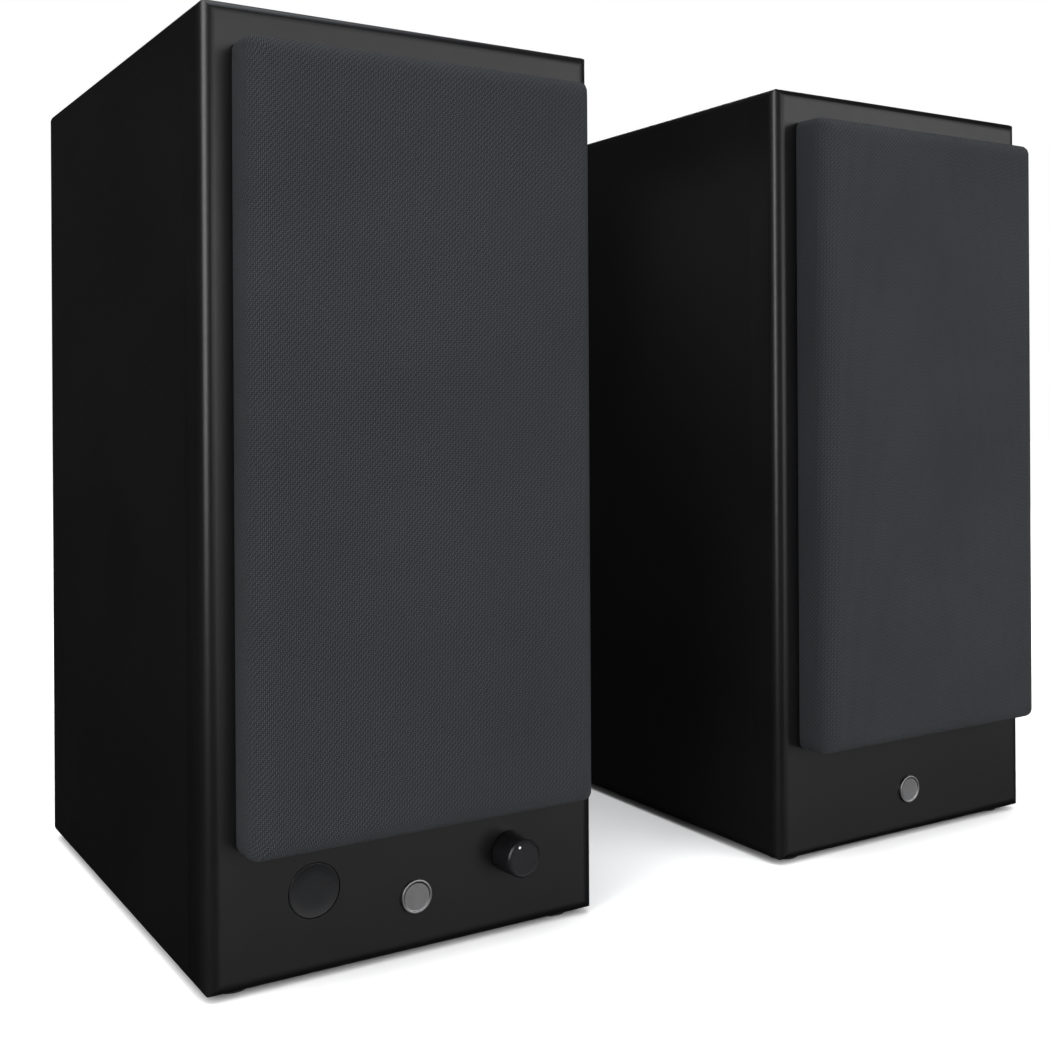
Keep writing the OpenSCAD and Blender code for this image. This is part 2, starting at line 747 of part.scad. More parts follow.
// Sheets of wadding on the right side board and under the top
module wadding() {
    t = 12;
    low = inner_low + 10;
    len_y = inner_back_y - baffle_t - 12;
    color(WADDING) on_both() {
        translate([inner_half - t, baffle_t + 6, low]) cube([t, len_y, inner_high - low]);
        translate([-inner_half, baffle_t + 6, inner_high - t]) cube([2 * inner_half - t, len_y, t]);
    }
}

// ---- front controls ----

// Knob with a bevelled face and a dimple for its pointer dot
module volume_knob() {
    bevel = 0.8;
    mid_r = knob_face_r + 0.3;
    dot_r = knob_face_r - 2;
    color(SILVER) on_active() out_of_front(control_x, control_h) translate([0, 0, knob_gap]) difference() {
        rotate_extrude() polygon([[0, 0], [knob_r - 0.3, 0], [knob_r, 0.3], [mid_r, knob_len - bevel],
            [knob_face_r - bevel, knob_len], [0, knob_len]]);
        translate([0, 0, -1]) cylinder(r = shaft_r + 0.02, h = knob_len - 2);
        rotate([0, 0, dot_turn]) translate([0, dot_r, knob_len - 0.3]) cylinder(r = 0.9, h = 1);
    }
}

module volume_shaft() {
    color(STEEL) on_active() out_of_front(control_x, control_h)
        translate([0, 0, -11.5]) cylinder(r = shaft_r, h = 11.5 + knob_gap + knob_len - 3.5);
}

module volume_control() {
    web_z = pot_pocket - baffle_t;
    body_t = 9;
    color(STEEL) on_active() out_of_front(control_x, control_h) {
        difference() {
            union() {
                translate([-8.5, -8.5, web_z - body_t]) cube([17, 17, body_t]);
                translate([0, 0, web_z - e]) cylinder(r = bush_r, h = -0.6 - web_z);
            }
            translate([0, 0, -12]) cylinder(r = shaft_r + shaft_fit, h = 14);
        }
        translate([0, 0, -nut_pocket]) difference() {
            cylinder(r = nut_pocket_r - 0.4, h = 2, $fn = 6);
            translate([0, 0, -1]) cylinder(r = bush_r, h = 4);
        }
    }
}

module status_window() {
    color(SMOKED) on_active() out_of_front(-control_x, control_h)
        translate([0, 0, -window_t]) cylinder(r = window_r, h = window_t);
}

// Board with the remote control's receiver and the status light
module status_board() {
    color(BOARD_GREEN) on_active() out_of_front(-control_x, control_h) translate([0, 0, -baffle_t]) {
        translate([-11, -11, -1.6]) cube([22, 22, 1.6]);
        translate([-4.5, -3, -e]) cube([5, 6, baffle_t - window_hole_z - 4]);
        translate([4, 0, -e]) cylinder(r = 1.5, h = baffle_t - window_hole_z - 4);
    }
}

module badges() {
    bevel = 0.4;
    color(SILVER) on_both() out_of_front(0, badge_h) rotate_extrude()
        polygon([[0, 0], [badge_r, 0], [badge_r, badge_t - bevel], [badge_r - bevel, badge_t], [0, badge_t]]);
}

// ---- amplifier ----

module amp_plate() {
    color(BLACK_PAINT) on_active() out_of_back(plate_z) linear_extrude(plate_t) difference() {
        soft_plate(plate_w, plate_h, 4);
        for (p = plate_screw_at) translate(p) circle(screw_r + 0.2);
        for (p = plate_lines) translate(p) circle(line_r + 0.15);
        translate(plate_jack) circle(3.1);
        translate(plate_inlet) square(inlet_cut, center = true);
        translate(plate_rocker) square(rocker_cut, center = true);
        for (x = [-post_pitch / 2, post_pitch / 2]) translate(plate_posts + [x, 0]) circle(post_r + 1);
    }
}

module amp_board() {
    stand = 17;
    board = [100, 84, 1.6];
    corners = [for (x = [-44, 44], y = [-36, 36]) [x, y]];
    color(BOARD_GREEN) on_active() out_of_back(plate_z) translate([0, 40, 0]) {
        for (p = corners) translate([p[0], p[1], -stand - e]) cylinder(r = 3, h = stand + e);
        translate([-board[0] / 2, -board[1] / 2, -stand - board[2]]) cube(board);
        translate([0, 0, -stand - board[2] + e]) mirror([0, 0, 1]) {
            for (x = [-38, -16, 6]) translate([x, -24, 0]) cylinder(r = 8, h = 24);
            translate([16, -30, 0]) cube([30, 12, 22]);
            for (x = [-30, -8, 14]) translate([x, 2, 0]) ring(8, 3.5, 0, 10);
            translate([30, 2, 0]) cube([14, 30, 8]);
            translate([-40, 22, 0]) cube([44, 10, 5]);
        }
    }
}

// Ring-core transformer bolted to the bottom board
module transformer() {
    core_r = 34;
    core_h = 32;
    color(COPPER) on_active() translate([0, 152, inner_low]) {
        ring(core_r, 10, 0, core_h);
        translate([0, 0, core_h]) cylinder(r = 22, h = 2);
        cylinder(r = 3, h = core_h + 6);
        translate([0, 0, core_h + 2 - e]) cylinder(r = 6, h = 4, $fn = 6);
    }
}

// Two-pin mains inlet
module mains_inlet() {
    mouth = [15.6, 8.4];
    cavity = 12;
    lip = 2;
    pin_pitch = 8.6;
    color(BLACK_PLASTIC) on_active() out_of_back(plate_z)
        translate([plate_inlet[0], plate_inlet[1], plate_t]) {
        difference() {
            union() {
                linear_extrude(lip) soft_plate(inlet_cut[0] + 6, inlet_cut[1] + 5, 3);
                translate([-inlet_cut[0] / 2 + 0.1, -inlet_cut[1] / 2 + 0.1, -20])
                    cube([inlet_cut[0] - 0.2, inlet_cut[1] - 0.2, 20 + e]);
            }
            translate([0, 0, lip - cavity]) linear_extrude(cavity + 1)
                soft_plate(mouth[0], mouth[1], mouth[1] / 2 - 0.1);
        }
        for (x = [-pin_pitch / 2, pin_pitch / 2])
            translate([x, 0, lip - cavity - e]) cylinder(r = 1.2, h = 10);
    }
}

module power_switch() {
    lip = 1.6;
    body_t = 18;
    color(BLACK_PLASTIC) on_active() out_of_back(plate_z)
        translate([plate_rocker[0], plate_rocker[1], plate_t]) difference() {
        union() {
            linear_extrude(lip) soft_plate(rocker_cut[0] + 2.6, rocker_cut[1] + 2.6, 1.2);
            translate([-rocker_cut[0] / 2 + 0.1, -rocker_cut[1] / 2 + 0.1, -body_t])
                cube([rocker_cut[0] - 0.2, rocker_cut[1] - 0.2, body_t + e]);
        }
        translate([-rocker_cut[0] / 2 + 1, -rocker_cut[1] / 2 + 0.9, -7.5])
            cube([rocker_cut[0] - 2, rocker_cut[1] - 1.8, 12]);
        translate([0, 0, pivot_z]) rotate([0, 90, 0])
            cylinder(r = pivot_r + pivot_fit, h = rocker_cut[0] - 0.8, center = true);
    }
}

// Rocker at its off stop; it turns on two pivots along X
module power_rocker() {
    half = rocker_cut[1] / 2 - 1.6;
    width = rocker_cut[0] - 2.8;
    pivot_len = 0.8;
    color(BLACK_PLASTIC) on_active() out_of_back(plate_z)
        translate([plate_rocker[0], plate_rocker[1], plate_t + pivot_z]) rotate([rocker_tilt, 0, 0])
        rotate([0, 90, 0]) {
            cylinder(r = pivot_r, h = width + 2 * pivot_len, center = true);
            rotate([0, 0, 90]) translate([0, 0, -width / 2]) linear_extrude(width)
                polygon([[-half, 3.2], [0, 5.2], [half, 3.2], [half, -2], [2, -4], [-2, -4], [-half, -2]]);
        }
}

// Three line sockets and a mini jack
module line_sockets() {
    color(SILVER) on_active() out_of_back(plate_z) {
        for (p = plate_lines) translate([p[0], p[1], 0]) line_socket();
        translate([plate_jack[0], plate_jack[1], 0]) mini_jack();
    }
}

module line_socket() {
    reach = 9;
    difference() {
        union() {
            translate([0, 0, -4]) cylinder(r = line_r, h = plate_t + reach + 4);
            translate([0, 0, plate_t]) cylinder(r = line_r + 1.6, h = 1.2);
            translate([-6.5, -6.5, -14]) cube([13, 13, 14]);
        }
        translate([0, 0, plate_t + reach - 9]) cylinder(r = 1.6, h = 10);
    }
}

module mini_jack() {
    difference() {
        union() {
            translate([0, 0, -3]) cylinder(r = 3, h = plate_t + 5.5);
            translate([-5.5, -6, -14]) cube([11, 12, 14]);
        }
        translate([0, 0, -12]) cylinder(r = jack_bore_r, h = 20);
    }
}

// ---- speaker terminals ----

// Places of the active cabinet's and the passive cabinet's terminals, red to the right
module at_active_post(side) {
    on_active() out_of_back(plate_z)
        translate([plate_posts[0] + side * post_pitch / 2, plate_posts[1], plate_t]) children();
}
module at_passive_post(side) {
    on_passive() out_of_back(cup_z) translate([side * post_pitch / 2, 0, cup_floor_z]) children();
}

// Threaded post with its insulating collar; z = 0 is the panel's face
module binding_post(panel_t) {
    tip = collar_t + cap_gap + cap_len + post_tip;
    difference() {
        union() {
            translate([0, 0, -panel_t - 6]) cylinder(r = post_r, h = panel_t + 6 + tip);
            cylinder(r = collar_r, h = collar_t);
            translate([0, 0, -panel_t - 3]) cylinder(r = post_r + 2.5, h = 3, $fn = 6);
        }
        translate([0, 0, tip - plug_depth]) cylinder(r = plug_bore_r, h = plug_depth + 1);
    }
}

// Cap that turns on the post, with grooves for the fingers
module post_cap() {
    grooves = 10;
    translate([0, 0, collar_t + cap_gap]) difference() {
        cylinder(r = cap_r, h = cap_len);
        translate([0, 0, -1]) cylinder(r = post_r + cap_fit, h = cap_len + 2);
        for (i = [0:grooves - 1]) rotate([0, 0, i * 360 / grooves])
            translate([cap_r + 0.5, 0, 2]) cylinder(r = 1.2, h = cap_len - 1.9);
    }
}

module binding_posts() {
    color(SILVER) for (side = [-1, 1]) {
        at_active_post(side) binding_post(plate_t);
        at_passive_post(side) binding_post(cup_wall_t);
    }
}

module active_red_cap() { color(RED) at_active_post(1) post_cap(); }
module active_black_cap() { color(BLACK_PLASTIC) at_active_post(-1) post_cap(); }
module passive_red_cap() { color(RED) at_passive_post(1) post_cap(); }
module passive_black_cap() { color(BLACK_PLASTIC) at_passive_post(-1) post_cap(); }

// Round cup that sinks the passive cabinet's terminals into its back
module terminal_cup() {
    color(BLACK_PLASTIC) on_passive() out_of_back(cup_z) difference() {
        union() {
            translate([0, 0, cup_floor_z - cup_wall_t])
                cylinder(r = cup_r + cup_wall_t, h = cup_depth + cup_wall_t);
            cylinder(r = cup_flange_r + 2, h = cup_wall_t);
        }
        translate([0, 0, cup_floor_z]) cylinder(r = cup_r, h = cup_depth + cup_wall_t + 1);
        for (x = [-post_pitch / 2, post_pitch / 2])
            translate([x, 0, cup_floor_z - cup_wall_t - 1]) cylinder(r = post_r + 1, h = cup_wall_t + 2);
        for (p = cup_screw_at) translate([p[0], p[1], -1]) cylinder(r = screw_r + 0.2, h = cup_wall_t + 2);
    }
}

module plate_screws() {
    color(STEEL) {
        on_active() out_of_back(plate_z) for (p = plate_screw_at) translate([p[0], p[1], plate_t]) screw();
        on_passive() out_of_back(cup_z) for (p = cup_screw_at) translate([p[0], p[1], cup_wall_t]) screw();
    }
}

active_cabinet();
active_baffle();
active_back_panel();
passive_cabinet();
passive_baffle();
passive_back_panel();
active_grille_frame();
active_grille_cloth();
passive_grille_frame();
passive_grille_cloth();
active_woofer_frame();
active_woofer_cone();
active_woofer_dust_cap();
active_woofer_surround();
active_woofer_spider();
active_woofer_coil();
active_woofer_magnet();
active_woofer_pole_pieces();
passive_woofer_frame();
passive_woofer_cone();
passive_woofer_dust_cap();
passive_woofer_surround();
passive_woofer_spider();
passive_woofer_coil();
passive_woofer_magnet();
passive_woofer_pole_pieces();
active_tweeter_faceplate();
active_tweeter_dome();
active_tweeter_motor();
passive_tweeter_faceplate();
passive_tweeter_dome();
passive_tweeter_motor();
active_port_tube();
passive_port_tube();
active_crossover();
passive_crossover();
wadding();
feet();
grille_cups();
badges();
driver_screws();
plate_screws();
volume_knob();
volume_shaft();
volume_control();
status_window();
status_board();
amp_plate();
amp_board();
transformer();
mains_inlet();
power_switch();
power_rocker();
line_sockets();
terminal_cup();
binding_posts();
active_red_cap();
active_black_cap();
passive_red_cap();
passive_black_cap();
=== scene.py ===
import math

import bmesh
import bpy
from mathutils import Matrix, Vector


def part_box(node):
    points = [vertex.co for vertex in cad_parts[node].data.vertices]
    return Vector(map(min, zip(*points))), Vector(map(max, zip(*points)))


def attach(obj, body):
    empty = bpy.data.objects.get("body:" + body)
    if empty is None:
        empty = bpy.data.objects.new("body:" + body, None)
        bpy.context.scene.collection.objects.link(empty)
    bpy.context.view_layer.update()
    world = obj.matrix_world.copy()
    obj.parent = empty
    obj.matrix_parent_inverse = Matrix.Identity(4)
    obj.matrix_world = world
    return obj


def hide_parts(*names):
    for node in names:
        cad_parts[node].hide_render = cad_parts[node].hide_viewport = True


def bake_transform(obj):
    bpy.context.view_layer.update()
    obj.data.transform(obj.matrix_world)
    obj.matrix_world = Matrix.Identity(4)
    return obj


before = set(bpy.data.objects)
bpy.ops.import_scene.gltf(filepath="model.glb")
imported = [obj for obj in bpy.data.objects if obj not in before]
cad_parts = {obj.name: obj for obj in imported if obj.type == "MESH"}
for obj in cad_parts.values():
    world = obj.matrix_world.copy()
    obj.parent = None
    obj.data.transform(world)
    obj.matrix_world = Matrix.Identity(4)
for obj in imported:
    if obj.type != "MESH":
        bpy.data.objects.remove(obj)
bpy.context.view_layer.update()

SIDES = ("active", "passive")


# ---- The view ------------------------------------------------------------------------------
# The pair stands on a table and is seen from in front and from the left of the active cabinet,
# a little above half its height, with the upright edges kept parallel.
near_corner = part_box("active_baffle")[0]
eye = Vector((near_corner.x - 0.1540, near_corner.y - 0.4639, 0.2103))
turn_right = math.radians(31.77)
lean = math.radians(-0.33)
camera_data = bpy.data.cameras.new("camera")
camera_data.sensor_width = 36
camera_data.lens = 46.61
camera_data.shift_y = -0.1131
camera_data.clip_start = 0.01
camera = bpy.data.objects.new("camera", camera_data)
camera.matrix_world = (Matrix.Translation(eye) @ Matrix.Rotation(-turn_right, 4, "Z")
                       @ Matrix.Rotation(math.radians(90), 4, "X") @ Matrix.Rotation(lean, 4, "Z"))
bpy.context.scene.collection.objects.link(camera)
bpy.context.scene.camera = camera


# ---- The table and the light -----------------------------------------------------------------
# A plain white table top that runs off to a white room. Soft boxes stand to the left, in front
# to the right, above and behind. The gloss of the cabinets mirrors all but the front one, and a pale wall.
def new_material(name, **sockets):
    """A material with one Principled shader, whose sockets are set by name; underscores stand for spaces."""
    made = bpy.data.materials.new(name)
    made.use_nodes = True
    shader = made.node_tree.nodes["Principled BSDF"]
    for socket, value in sockets.items():
        shader.inputs[socket.replace("_", " ")].default_value = value
    return made


def new_object(name, mesh, *materials):
    """An object at the origin for a finished mesh."""
    made = bpy.data.objects.new(name, mesh)
    bpy.context.scene.collection.objects.link(made)
    for one in materials:
        mesh.materials.append(one)
    return made


def soft_box(name, place, aim, width, height, power, warmth=(1, 1, 1)):
    """A rectangular area light at place that faces aim."""
    data = bpy.data.lights.new(name, "AREA")
    data.shape = "RECTANGLE"
    data.size, data.size_y = width, height
    data.energy = power
    data.color = warmth
    lamp = bpy.data.objects.new(name, data)
    lamp.location = place
    lamp.rotation_euler = (Vector(aim) - Vector(place)).to_track_quat("-Z", "Y").to_euler()
    bpy.context.scene.collection.objects.link(lamp)
    return lamp


room = bpy.data.worlds.new("room")
bpy.context.scene.world = room
room.use_nodes = True
room_nodes, room_links = room.node_tree.nodes, room.node_tree.links
room_nodes.clear()
seen, lighting, mirrored = (room_nodes.new("ShaderNodeBackground") for _ in range(3))
seen.inputs["Strength"].default_value = 1.0
lighting.inputs["Strength"].default_value = 0.55
for background in (seen, lighting, mirrored):
    background.inputs["Color"].default_value = (1, 1, 1, 1)
# Gloss mirrors a pale wall in front and to the right, brightest a little above the level of the eye,
# and a dim room everywhere else
heading = room_nodes.new("ShaderNodeTexCoord")
towards_wall = room_nodes.new("ShaderNodeVectorMath")
towards_wall.operation = "DOT_PRODUCT"
towards_wall.inputs[1].default_value = (0.40, -0.88, 0.25)
wall = room_nodes.new("ShaderNodeMapRange")
wall.interpolation_type = "SMOOTHSTEP"
for socket, value in (("From Min", 0.72), ("From Max", 0.97), ("To Min", 0.02), ("To Max", 2.6)):
    wall.inputs[socket].default_value = value
upward = room_nodes.new("ShaderNodeSeparateXYZ")
wall_rise = room_nodes.new("ShaderNodeMapRange")
for socket, value in (("From Min", -0.4), ("From Max", 0.6)):
    wall_rise.inputs[socket].default_value = value
wall_tone = room_nodes.new("ShaderNodeValToRGB")
wall_tone.color_ramp.interpolation = "EASE"
tones = ((0.0, 0.08), (0.11, 0.24), (0.27, 0.42), (0.46, 0.85), (0.63, 1.0), (0.70, 0.20), (1.0, 0.05))
for height, tone in tones[1:-1]:
    wall_tone.color_ramp.elements.new(height)
for step, (height, tone) in zip(wall_tone.color_ramp.elements, tones):
    step.color = (tone, tone, tone, 1)
room_links.new(heading.outputs["Generated"], upward.inputs[0])
room_links.new(upward.outputs["Z"], wall_rise.inputs["Value"])
room_links.new(wall_rise.outputs[0], wall_tone.inputs["Fac"])
room_links.new(wall_tone.outputs["Color"], mirrored.inputs["Color"])
room_links.new(heading.outputs["Generated"], towards_wall.inputs[0])
room_links.new(towards_wall.outputs["Value"], wall.inputs["Value"])
room_links.new(wall.outputs[0], mirrored.inputs["Strength"])
which_ray = room_nodes.new("ShaderNodeLightPath")
mix_mirrored, mix_seen = (room_nodes.new("ShaderNodeMixShader") for _ in range(2))
room_out = room_nodes.new("ShaderNodeOutputWorld")
room_links.new(which_ray.outputs["Is Glossy Ray"], mix_mirrored.inputs["Fac"])
room_links.new(lighting.outputs[0], mix_mirrored.inputs[1])
room_links.new(mirrored.outputs[0], mix_mirrored.inputs[2])
room_links.new(which_ray.outputs["Is Camera Ray"], mix_seen.inputs["Fac"])
room_links.new(mix_mirrored.outputs[0], mix_seen.inputs[1])
room_links.new(seen.outputs[0], mix_seen.inputs[2])
room_links.new(mix_seen.outputs[0], room_out.inputs[0])

table_half = 6.0
table_mesh = bpy.data.meshes.new("table_top")
table_mesh.from_pydata([(-table_half, -table_half, 0), (table_half, -table_half, 0),
                        (table_half, table_half, 0), (-table_half, table_half, 0)], [], [(0, 1, 2, 3)])
table_white = new_material("table_white", Base_Color=(0.95, 0.95, 0.95, 1), Roughness=0.5)
table_white.node_tree.nodes["Principled BSDF"].inputs["Specular IOR Level"].default_value = 0
table = new_object("table_top", table_mesh, table_white)
table.visible_glossy = False

middle = Vector((0, 0, 0.17))
soft_box("left_box", (-1.35, -0.75, 0.75), middle, 0.5, 1.5, 14)
soft_box("front_box", (0.85, -1.9, 0.95), middle, 1.6, 1.3, 34).visible_glossy = False
soft_box("top_box", (-0.15, 0.05, 1.7), middle, 1.4, 1.2, 8, (0.90, 0.94, 1))
soft_box("rear_box", (1.3, 1.5, 0.9), middle, 0.8, 1.2, 16)
day_data = bpy.data.lights.new("daylight", "SUN")
day_data.energy, day_data.angle = 2.0, math.radians(50)
day = bpy.data.objects.new("daylight", day_data)
day.rotation_euler = Vector((0.25, 0.22, -0.94)).to_track_quat("-Z", "Y").to_euler()
day.visible_glossy = False
bpy.context.scene.collection.objects.link(day)
bpy.context.scene.view_settings.view_transform = "Standard"
bpy.context.scene.render.film_transparent = False


# ---- Cabinets ----------------------------------------------------------------------------------
# Each cabinet is a fibreboard sleeve with a front and a back board let into it, glued, sanded
# and finished all over in one coat of smooth satin black. The coat shows a faint orange peel.
def group_tree(name, inputs, outputs):
    """An empty shader group. inputs maps names to default values, outputs maps names to kinds."""
    tree = bpy.data.node_groups.new(name, "ShaderNodeTree")
    for socket, value in inputs.items():
        kind = "NodeSocketVector" if value is None else "NodeSocketFloat"
        made = tree.interface.new_socket(socket, in_out="INPUT", socket_type=kind)
        if value is not None:
            made.default_value = value
    for socket, kind in outputs.items():
        tree.interface.new_socket(socket, in_out="OUTPUT", socket_type=kind)
    tree.nodes.new("NodeGroupInput")
    tree.nodes.new("NodeGroupOutput")
    return tree


def add_node(tree, kind, **settings):
    """A node of that kind. A setting whose name is an attribute of the node is set as one, any other is an
    input socket, and a socket as its value is linked."""
    made = tree.nodes.new(kind)
    for key, value in settings.items():
        if hasattr(made, key):
            setattr(made, key, value)
    for key, value in settings.items():
        if hasattr(made, key):
            continue
        index = int(key[1:]) if key[0] == "i" and key[1:].isdigit() else key.replace("_", " ")
        if isinstance(value, bpy.types.NodeSocket):
            tree.links.new(value, made.inputs[index])
        else:
            made.inputs[index].default_value = value
    return made


def calc(tree, operation, *values):
    """A math node on one to three values or sockets; gives its output socket."""
    return add_node(tree, "ShaderNodeMath", operation=operation,
                    **{f"i{k}": value for k, value in enumerate(values)}).outputs[0]


def object_point(tree, times=1.0):
    """The point in the row frame, times a factor."""
    here = add_node(tree, "ShaderNodeTexCoord").outputs["Object"]
    return add_node(tree, "ShaderNodeVectorMath", operation="SCALE", i0=here, Scale=times).outputs[0]


def grain_group():
    """Two sizes of even noise, for paint, plastic and powder coat."""
    tree = group_tree("surface_grain", {"Grains per mm": 1.0, "Coarse Share": 0.3},
                      {"Height": "NodeSocketFloat", "Tone": "NodeSocketFloat"})
    given, out = tree.nodes["Group Input"], tree.nodes["Group Output"]
    here = object_point(tree, 1000.0)
    fine = add_node(tree, "ShaderNodeTexNoise", Vector=here, Scale=given.outputs["Grains per mm"],
                    Detail=2.0, Roughness=0.55).outputs["Fac"]
    wide = calc(tree, "MULTIPLY", given.outputs["Grains per mm"], 0.17)
    coarse = add_node(tree, "ShaderNodeTexNoise", Vector=here, Scale=wide, Detail=1.0).outputs["Fac"]
    mixed = add_node(tree, "ShaderNodeMix", data_type="FLOAT", Factor=given.outputs["Coarse Share"],
                     i2=fine, i3=coarse).outputs[0]
    patch = add_node(tree, "ShaderNodeTexNoise", Vector=here, Scale=0.02, Detail=3.0).outputs["Fac"]
    tree.links.new(mixed, out.inputs["Height"])
    tree.links.new(patch, out.inputs["Tone"])
    return tree


def dust_group():
    """A thin scatter of dust on faces that look up."""
    tree = group_tree("settled_dust", {"Amount": 0.1}, {"Mask": "NodeSocketFloat"})
    given, out = tree.nodes["Group Input"], tree.nodes["Group Output"]
    here = object_point(tree, 1000.0)
    facing = add_node(tree, "ShaderNodeSeparateXYZ",
                      Vector=add_node(tree, "ShaderNodeNewGeometry").outputs["Normal"]).outputs["Z"]
    upward = add_node(tree, "ShaderNodeMapRange", Value=facing, From_Min=0.35, From_Max=0.95).outputs[0]
    specks = add_node(tree, "ShaderNodeTexNoise", Vector=here, Scale=2.6, Detail=3.0).outputs["Fac"]
    sharp = add_node(tree, "ShaderNodeMapRange", Value=specks, From_Min=0.56, From_Max=0.72).outputs[0]
    drift = add_node(tree, "ShaderNodeTexNoise", Vector=here, Scale=0.03, Detail=2.0).outputs["Fac"]
    mask = calc(tree, "MULTIPLY", calc(tree, "MULTIPLY", upward, sharp), drift)
    tree.links.new(calc(tree, "MULTIPLY", mask, given.outputs["Amount"]), out.inputs["Mask"])
    return tree


GRAIN, DUST = grain_group(), dust_group()


def dress(made, colour, rough, grains=1.0, depth=0.00001, coarse=0.3, spread=0.08, dust=0.1, mottle=0.15):
    """Gives a material its colour, a grain that breaks up its gloss, and a little dust on top."""
    tree = made.node_tree
    shader = tree.nodes["Principled BSDF"]
    grain = add_node(tree, "ShaderNodeGroup", node_tree=GRAIN, Grains_per_mm=grains, Coarse_Share=coarse)
    layer = add_node(tree, "ShaderNodeGroup", node_tree=DUST, Amount=dust)
    shade = add_node(tree, "ShaderNodeMapRange", Value=grain.outputs["Tone"], From_Min=0.3, From_Max=0.7,
                     To_Min=1 - mottle, To_Max=1 + mottle).outputs[0]
    toned = add_node(tree, "ShaderNodeVectorMath", operation="SCALE", i0=colour, Scale=shade).outputs[0]
    dusted = add_node(tree, "ShaderNodeMix", data_type="RGBA", Factor=layer.outputs["Mask"],
                      i6=toned, i7=(0.34, 0.33, 0.31, 1)).outputs[2]
    uneven = add_node(tree, "ShaderNodeMapRange", Value=grain.outputs["Height"], From_Min=0.3, From_Max=0.7,
                      To_Min=rough - spread, To_Max=rough + spread).outputs[0]
    matt = calc(tree, "MULTIPLY", layer.outputs["Mask"], 0.5)
    bump = add_node(tree, "ShaderNodeBump", Height=grain.outputs["Height"], Distance=depth, Strength=1.0)
    tree.links.new(dusted, shader.inputs["Base Color"])
    tree.links.new(calc(tree, "ADD", uneven, matt), shader.inputs["Roughness"])
    tree.links.new(bump.outputs[0], shader.inputs["Normal"])
    return made


def finish_normals(piece, angle=32):
    """Smooth shading that keeps sharp edges sharp and large flat faces flat."""
    piece.data.shade_smooth()
    piece.data.set_sharp_from_angle(angle=math.radians(angle))
    weigh = piece.modifiers.new("weigh_normals", "WEIGHTED_NORMAL")
    weigh.keep_sharp = True
    weigh.weight = 100


def eased_copy(node, name, body, slot, material, ease=0.0004, angle=32, segments=2, joint_y=None, whole=True):
    """Stands for a CAD node: its flat faces made whole, its sharp edges eased, its curves smooth. Edges in
    the plane y = joint_y meet another glued piece flush and stay as they are. A face with holes close
    together keeps its facets with whole=False."""
    shape = bmesh.new()
    shape.from_mesh(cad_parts[node].data)
    bmesh.ops.remove_doubles(shape, verts=shape.verts, dist=2e-6)
    if whole:
        bmesh.ops.dissolve_limit(shape, angle_limit=math.radians(0.4), verts=shape.verts, edges=shape.edges)
    if ease:
        crisp = [edge for edge in shape.edges
                 if edge.is_manifold and edge.calc_face_angle() > math.radians(angle)
                 and (joint_y is None or any(abs(v.co.y - joint_y) > 1e-5 for v in edge.verts))]
        bmesh.ops.bevel(shape, geom=crisp, offset=ease, offset_type="OFFSET", segments=segments,
                        profile=0.5, affect="EDGES", clamp_overlap=True)
    bmesh.ops.triangulate(shape, faces=[face for face in shape.faces if len(face.verts) > 4])
    mesh = bpy.data.meshes.new(name)
    shape.to_mesh(mesh)
    shape.free()
    piece = new_object(name, mesh, material)
    finish_normals(piece, angle)
    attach(piece, body)
    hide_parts(node)
    return piece


satin_black = new_material("satin_black", Specular_IOR_Level=0.5)
dress(satin_black, (0.0040, 0.0040, 0.0044), 0.32, grains=0.8, depth=0.0000008, spread=0.03, dust=0.03)
for side in SIDES:
    glue_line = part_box(f"{side}_baffle")[1].y
    for part in ("cabinet", "baffle"):
        eased_copy(f"{side}_{part}", f"{side}_{part}_finished", "cabinets", "satin_black", satin_black,
                   joint_y=glue_line)
    eased_copy(f"{side}_back_panel", f"{side}_back_panel_finished", "cabinets", "satin_black", satin_black)


# ---- Turned pieces: port, badge, window, knob ---------------------------------------------------
# The port is a moulded tube with a rounded mouth. The badge is a plain brushed disc glued on, the
# window a smoked disc let in flush, and the knob a turned metal cap pushed on to its shaft.
def softened(profile, radius, steps=3):
    """The profile with its inner corners rounded by short arcs."""
    out = [profile[0]]
    for before, here, after in zip(profile, profile[1:], profile[2:]):
        before, here, after = Vector(before), Vector(here), Vector(after)
        to_before, to_after = before - here, after - here
        reach = min(radius, to_before.length * 0.45, to_after.length * 0.45)
        first, last = here + to_before.normalized() * reach, here + to_after.normalized() * reach
        for step in range(steps + 1):
            t = step / steps
            out.append(tuple(first * (1 - t) ** 2 + here * (2 * t * (1 - t)) + last * t ** 2))
    return out + [profile[-1]]


def lathe(name, centre, out, profile, material, segments=72):
    """A turned piece. The profile is a list of (radius, height) and height runs along out, +1 or -1 in Y."""
    shape = bmesh.new()
    rings = []
    for radius, height in profile:
        y = centre.y + out * height
        if radius < 1e-7:
            rings.append([shape.verts.new((centre.x, y, centre.z))])
        else:
            rings.append([shape.verts.new((centre.x + radius * math.cos(2 * math.pi * k / segments), y,
                                           centre.z + radius * math.sin(2 * math.pi * k / segments)))
                          for k in range(segments)])
    for low, high in zip(rings, rings[1:]):
        for k in range(segments):
            n = (k + 1) % segments
            if len(low) == 1 and len(high) == 1:
                continue
            corners = [low[k % len(low)], low[n % len(low)], high[n % len(high)], high[k % len(high)]]
            shape.faces.new(list(dict.fromkeys(corners)))
    bmesh.ops.recalc_face_normals(shape, faces=shape.faces)
    mesh = bpy.data.meshes.new(name)
    shape.to_mesh(mesh)
    shape.free()
    piece = new_object(name, mesh, material)
    finish_normals(piece, 40)
    return piece


def belongs(piece, body, slot, *nodes):
    """The piece moves with body and stands for those CAD nodes, which it hides. The slot argument is not used.
    """
    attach(piece, body)
    if nodes:
        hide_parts(*nodes)
    return piece


